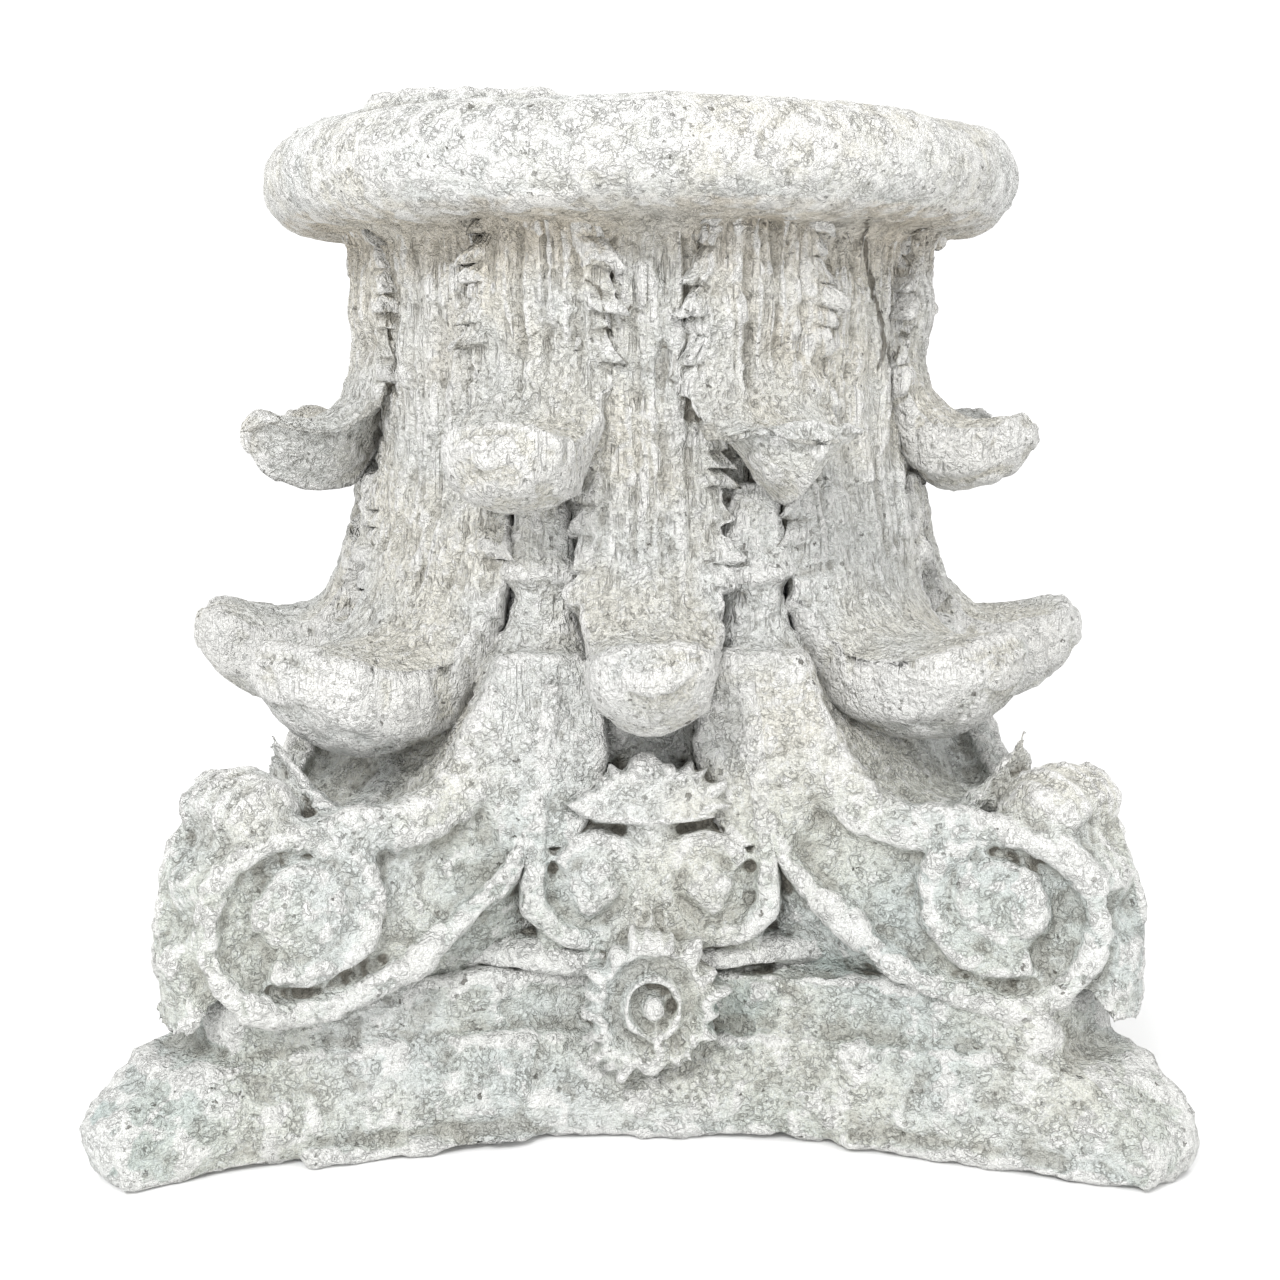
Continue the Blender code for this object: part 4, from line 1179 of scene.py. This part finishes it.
def stone_material():
    material = bpy.data.materials.new("cast_stone")
    material.use_nodes = True
    nodes = Nodes(material)
    place = nodes.add("ShaderNodeTexCoord").outputs["Object"]
    blotch = nodes.noise(place, BLOTCH_SCALE, 2.0, 0.6)
    grain = nodes.noise(place, GRAIN_SCALE, 3.0, 0.75)
    lines = crease_lines(nodes, place, blotch)
    pitted = air_pits(nodes, place)
    shader = material.node_tree.nodes["Principled BSDF"]
    inputs = {
        "Base Color": stone_colour(nodes, place, grain, blotch, lines, pitted),
        "Roughness": nodes.ranged(blotch, 0.3, 0.7, 0.96, 0.80),
        "Normal": stone_relief(nodes, grain, blotch, lines, pitted),
    }
    for name, value in inputs.items():
        material.node_tree.links.new(value, shader.inputs[name])
    shader.inputs["Specular IOR Level"].default_value = 0.25
    return material


# Scene

FLOOR_REACH = 6.0
FLOOR_GAP = 0.0005
SKY_STRENGTH = 1.26
AIM = (0.0, 0.0, 0.23)
# (place, size, power) of each soft light, in metres and watts
LIGHTS = {
    "key": ((-0.7, -2.0, 1.7), 0.7, 37.0),
    "fill": ((1.6, -1.6, 1.2), 1.6, 6.0),
}

def softened(mesh, steps):
    write_points(mesh, relaxed(mesh, read_points(mesh), steps))
    return mesh


TRIANGLES_KEPT = 0.71
SCROLL_VOXEL = 2.0
ORNAMENT_VOXEL = 1.7
WEAR_SEED = 7
# Depth in millimetres of the broad swells, the grit and the torn scabs
WEAR = {
    "abacus": (3.2, 1.3, 1.5),
    "bell": (2.0, 1.2, 1.2),
    "necking_ring": (2.4, 0.7, 0.8),
    "leaves": (1.4, 0.8, 1.4),
    "scrolls": (1.8, 1.4, 1.3),
    "ornament": (1.2, 0.8, 0.7),
}


def build_meshes():
    """Every mesh of the capital with its wear: (name, mesh), in millimetres."""
    meshes = {
        "abacus": mesh_of("abacus", abacus()),
        "bell": mesh_of("bell", bell()),
        "necking_ring": mesh_of("necking_ring", ring()),
        "short_leaves": mesh_of("short_leaves", short_leaves()),
        "face_leaves": mesh_of("face_leaves", tall_leaves((FACE_LEAF, SIDE_LEAF), 0.0, 30)),
        "corner_leaves": mesh_of("corner_leaves", tall_leaves((CORNER_LEAF, CORNER_LEAF), 0.5, 40)),
    }
    for k in range(FACES):
        meshes[f"corner_scrolls_{k}"] = softened(remeshed(corner(k), SCROLL_VOXEL), 2)
        meshes[f"face_ornament_{k}"] = softened(remeshed(face_ornament(k), ORNAMENT_VOXEL), 1)
    for name, mesh in meshes.items():
        kind = next(kind for kind in WEAR if kind in name)
        weathered(mesh, *WEAR[kind], WEAR_SEED)
    return meshes


def place_pieces(meshes, material):
    for (name, mesh), sheltered in zip(meshes.items(), shelter(list(meshes.values()))):
        stains_and_shade(mesh, sheltered)
        mesh = changed(mesh, "DECIMATE", ratio=TRIANGLES_KEPT)
        write_points(mesh, read_points(mesh) * MM)
        mesh.shade_smooth()
        mesh.name = name
        mesh.materials.clear()
        mesh.materials.append(material)
        piece = placed(name, mesh)
        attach(piece, "root")
        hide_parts("capital")


def floor():
    """A plain pale floor, a hair under the capital."""
    corners = FLOOR_REACH * np.array([(-1, -1, 0), (1, -1, 0), (1, 1, 0), (-1, 1, 0)])
    mesh = mesh_of("floor", (corners, [(0, 1, 2, 3)]))
    material = bpy.data.materials.new("pale_floor")
    material.use_nodes = True
    shader = material.node_tree.nodes["Principled BSDF"]
    shader.inputs["Base Color"].default_value = (0.93, 0.93, 0.93, 1.0)
    shader.inputs["Roughness"].default_value = 0.9
    mesh.materials.append(material)
    obj = placed("floor", mesh)
    obj.location.z = -FLOOR_GAP


def soft_light(name, place, size, power):
    light = bpy.data.lights.new(name, "AREA")
    light.shape = "DISK"
    light.size = size
    light.energy = power
    obj = placed(name, light)
    obj.location = place
    direction = Vector(place) - Vector(AIM)
    obj.rotation_euler = direction.to_track_quat("Z", "Y").to_euler()


def studio():
    scene = bpy.context.scene
    world = bpy.data.worlds.new("studio")
    world.use_nodes = True
    background = world.node_tree.nodes["Background"]
    background.inputs["Color"].default_value = (1.0, 1.0, 1.0, 1.0)
    background.inputs["Strength"].default_value = SKY_STRENGTH
    scene.world = world
    scene.view_settings.view_transform = "Standard"
    for name, (place, size, power) in LIGHTS.items():
        soft_light(name, place, size, power)


def camera():
    data = bpy.data.cameras.new("camera")
    data.lens = CAMERA_LENS
    obj = placed("camera", data)
    obj.location = (0.0, -CAMERA_DISTANCE * MM, CAMERA_HEIGHT * MM)
    obj.rotation_euler = (math.pi / 2 - CAMERA_PITCH, 0.0, 0.0)
    bpy.context.scene.camera = obj


place_pieces(build_meshes(), stone_material())
floor()
studio()
camera()
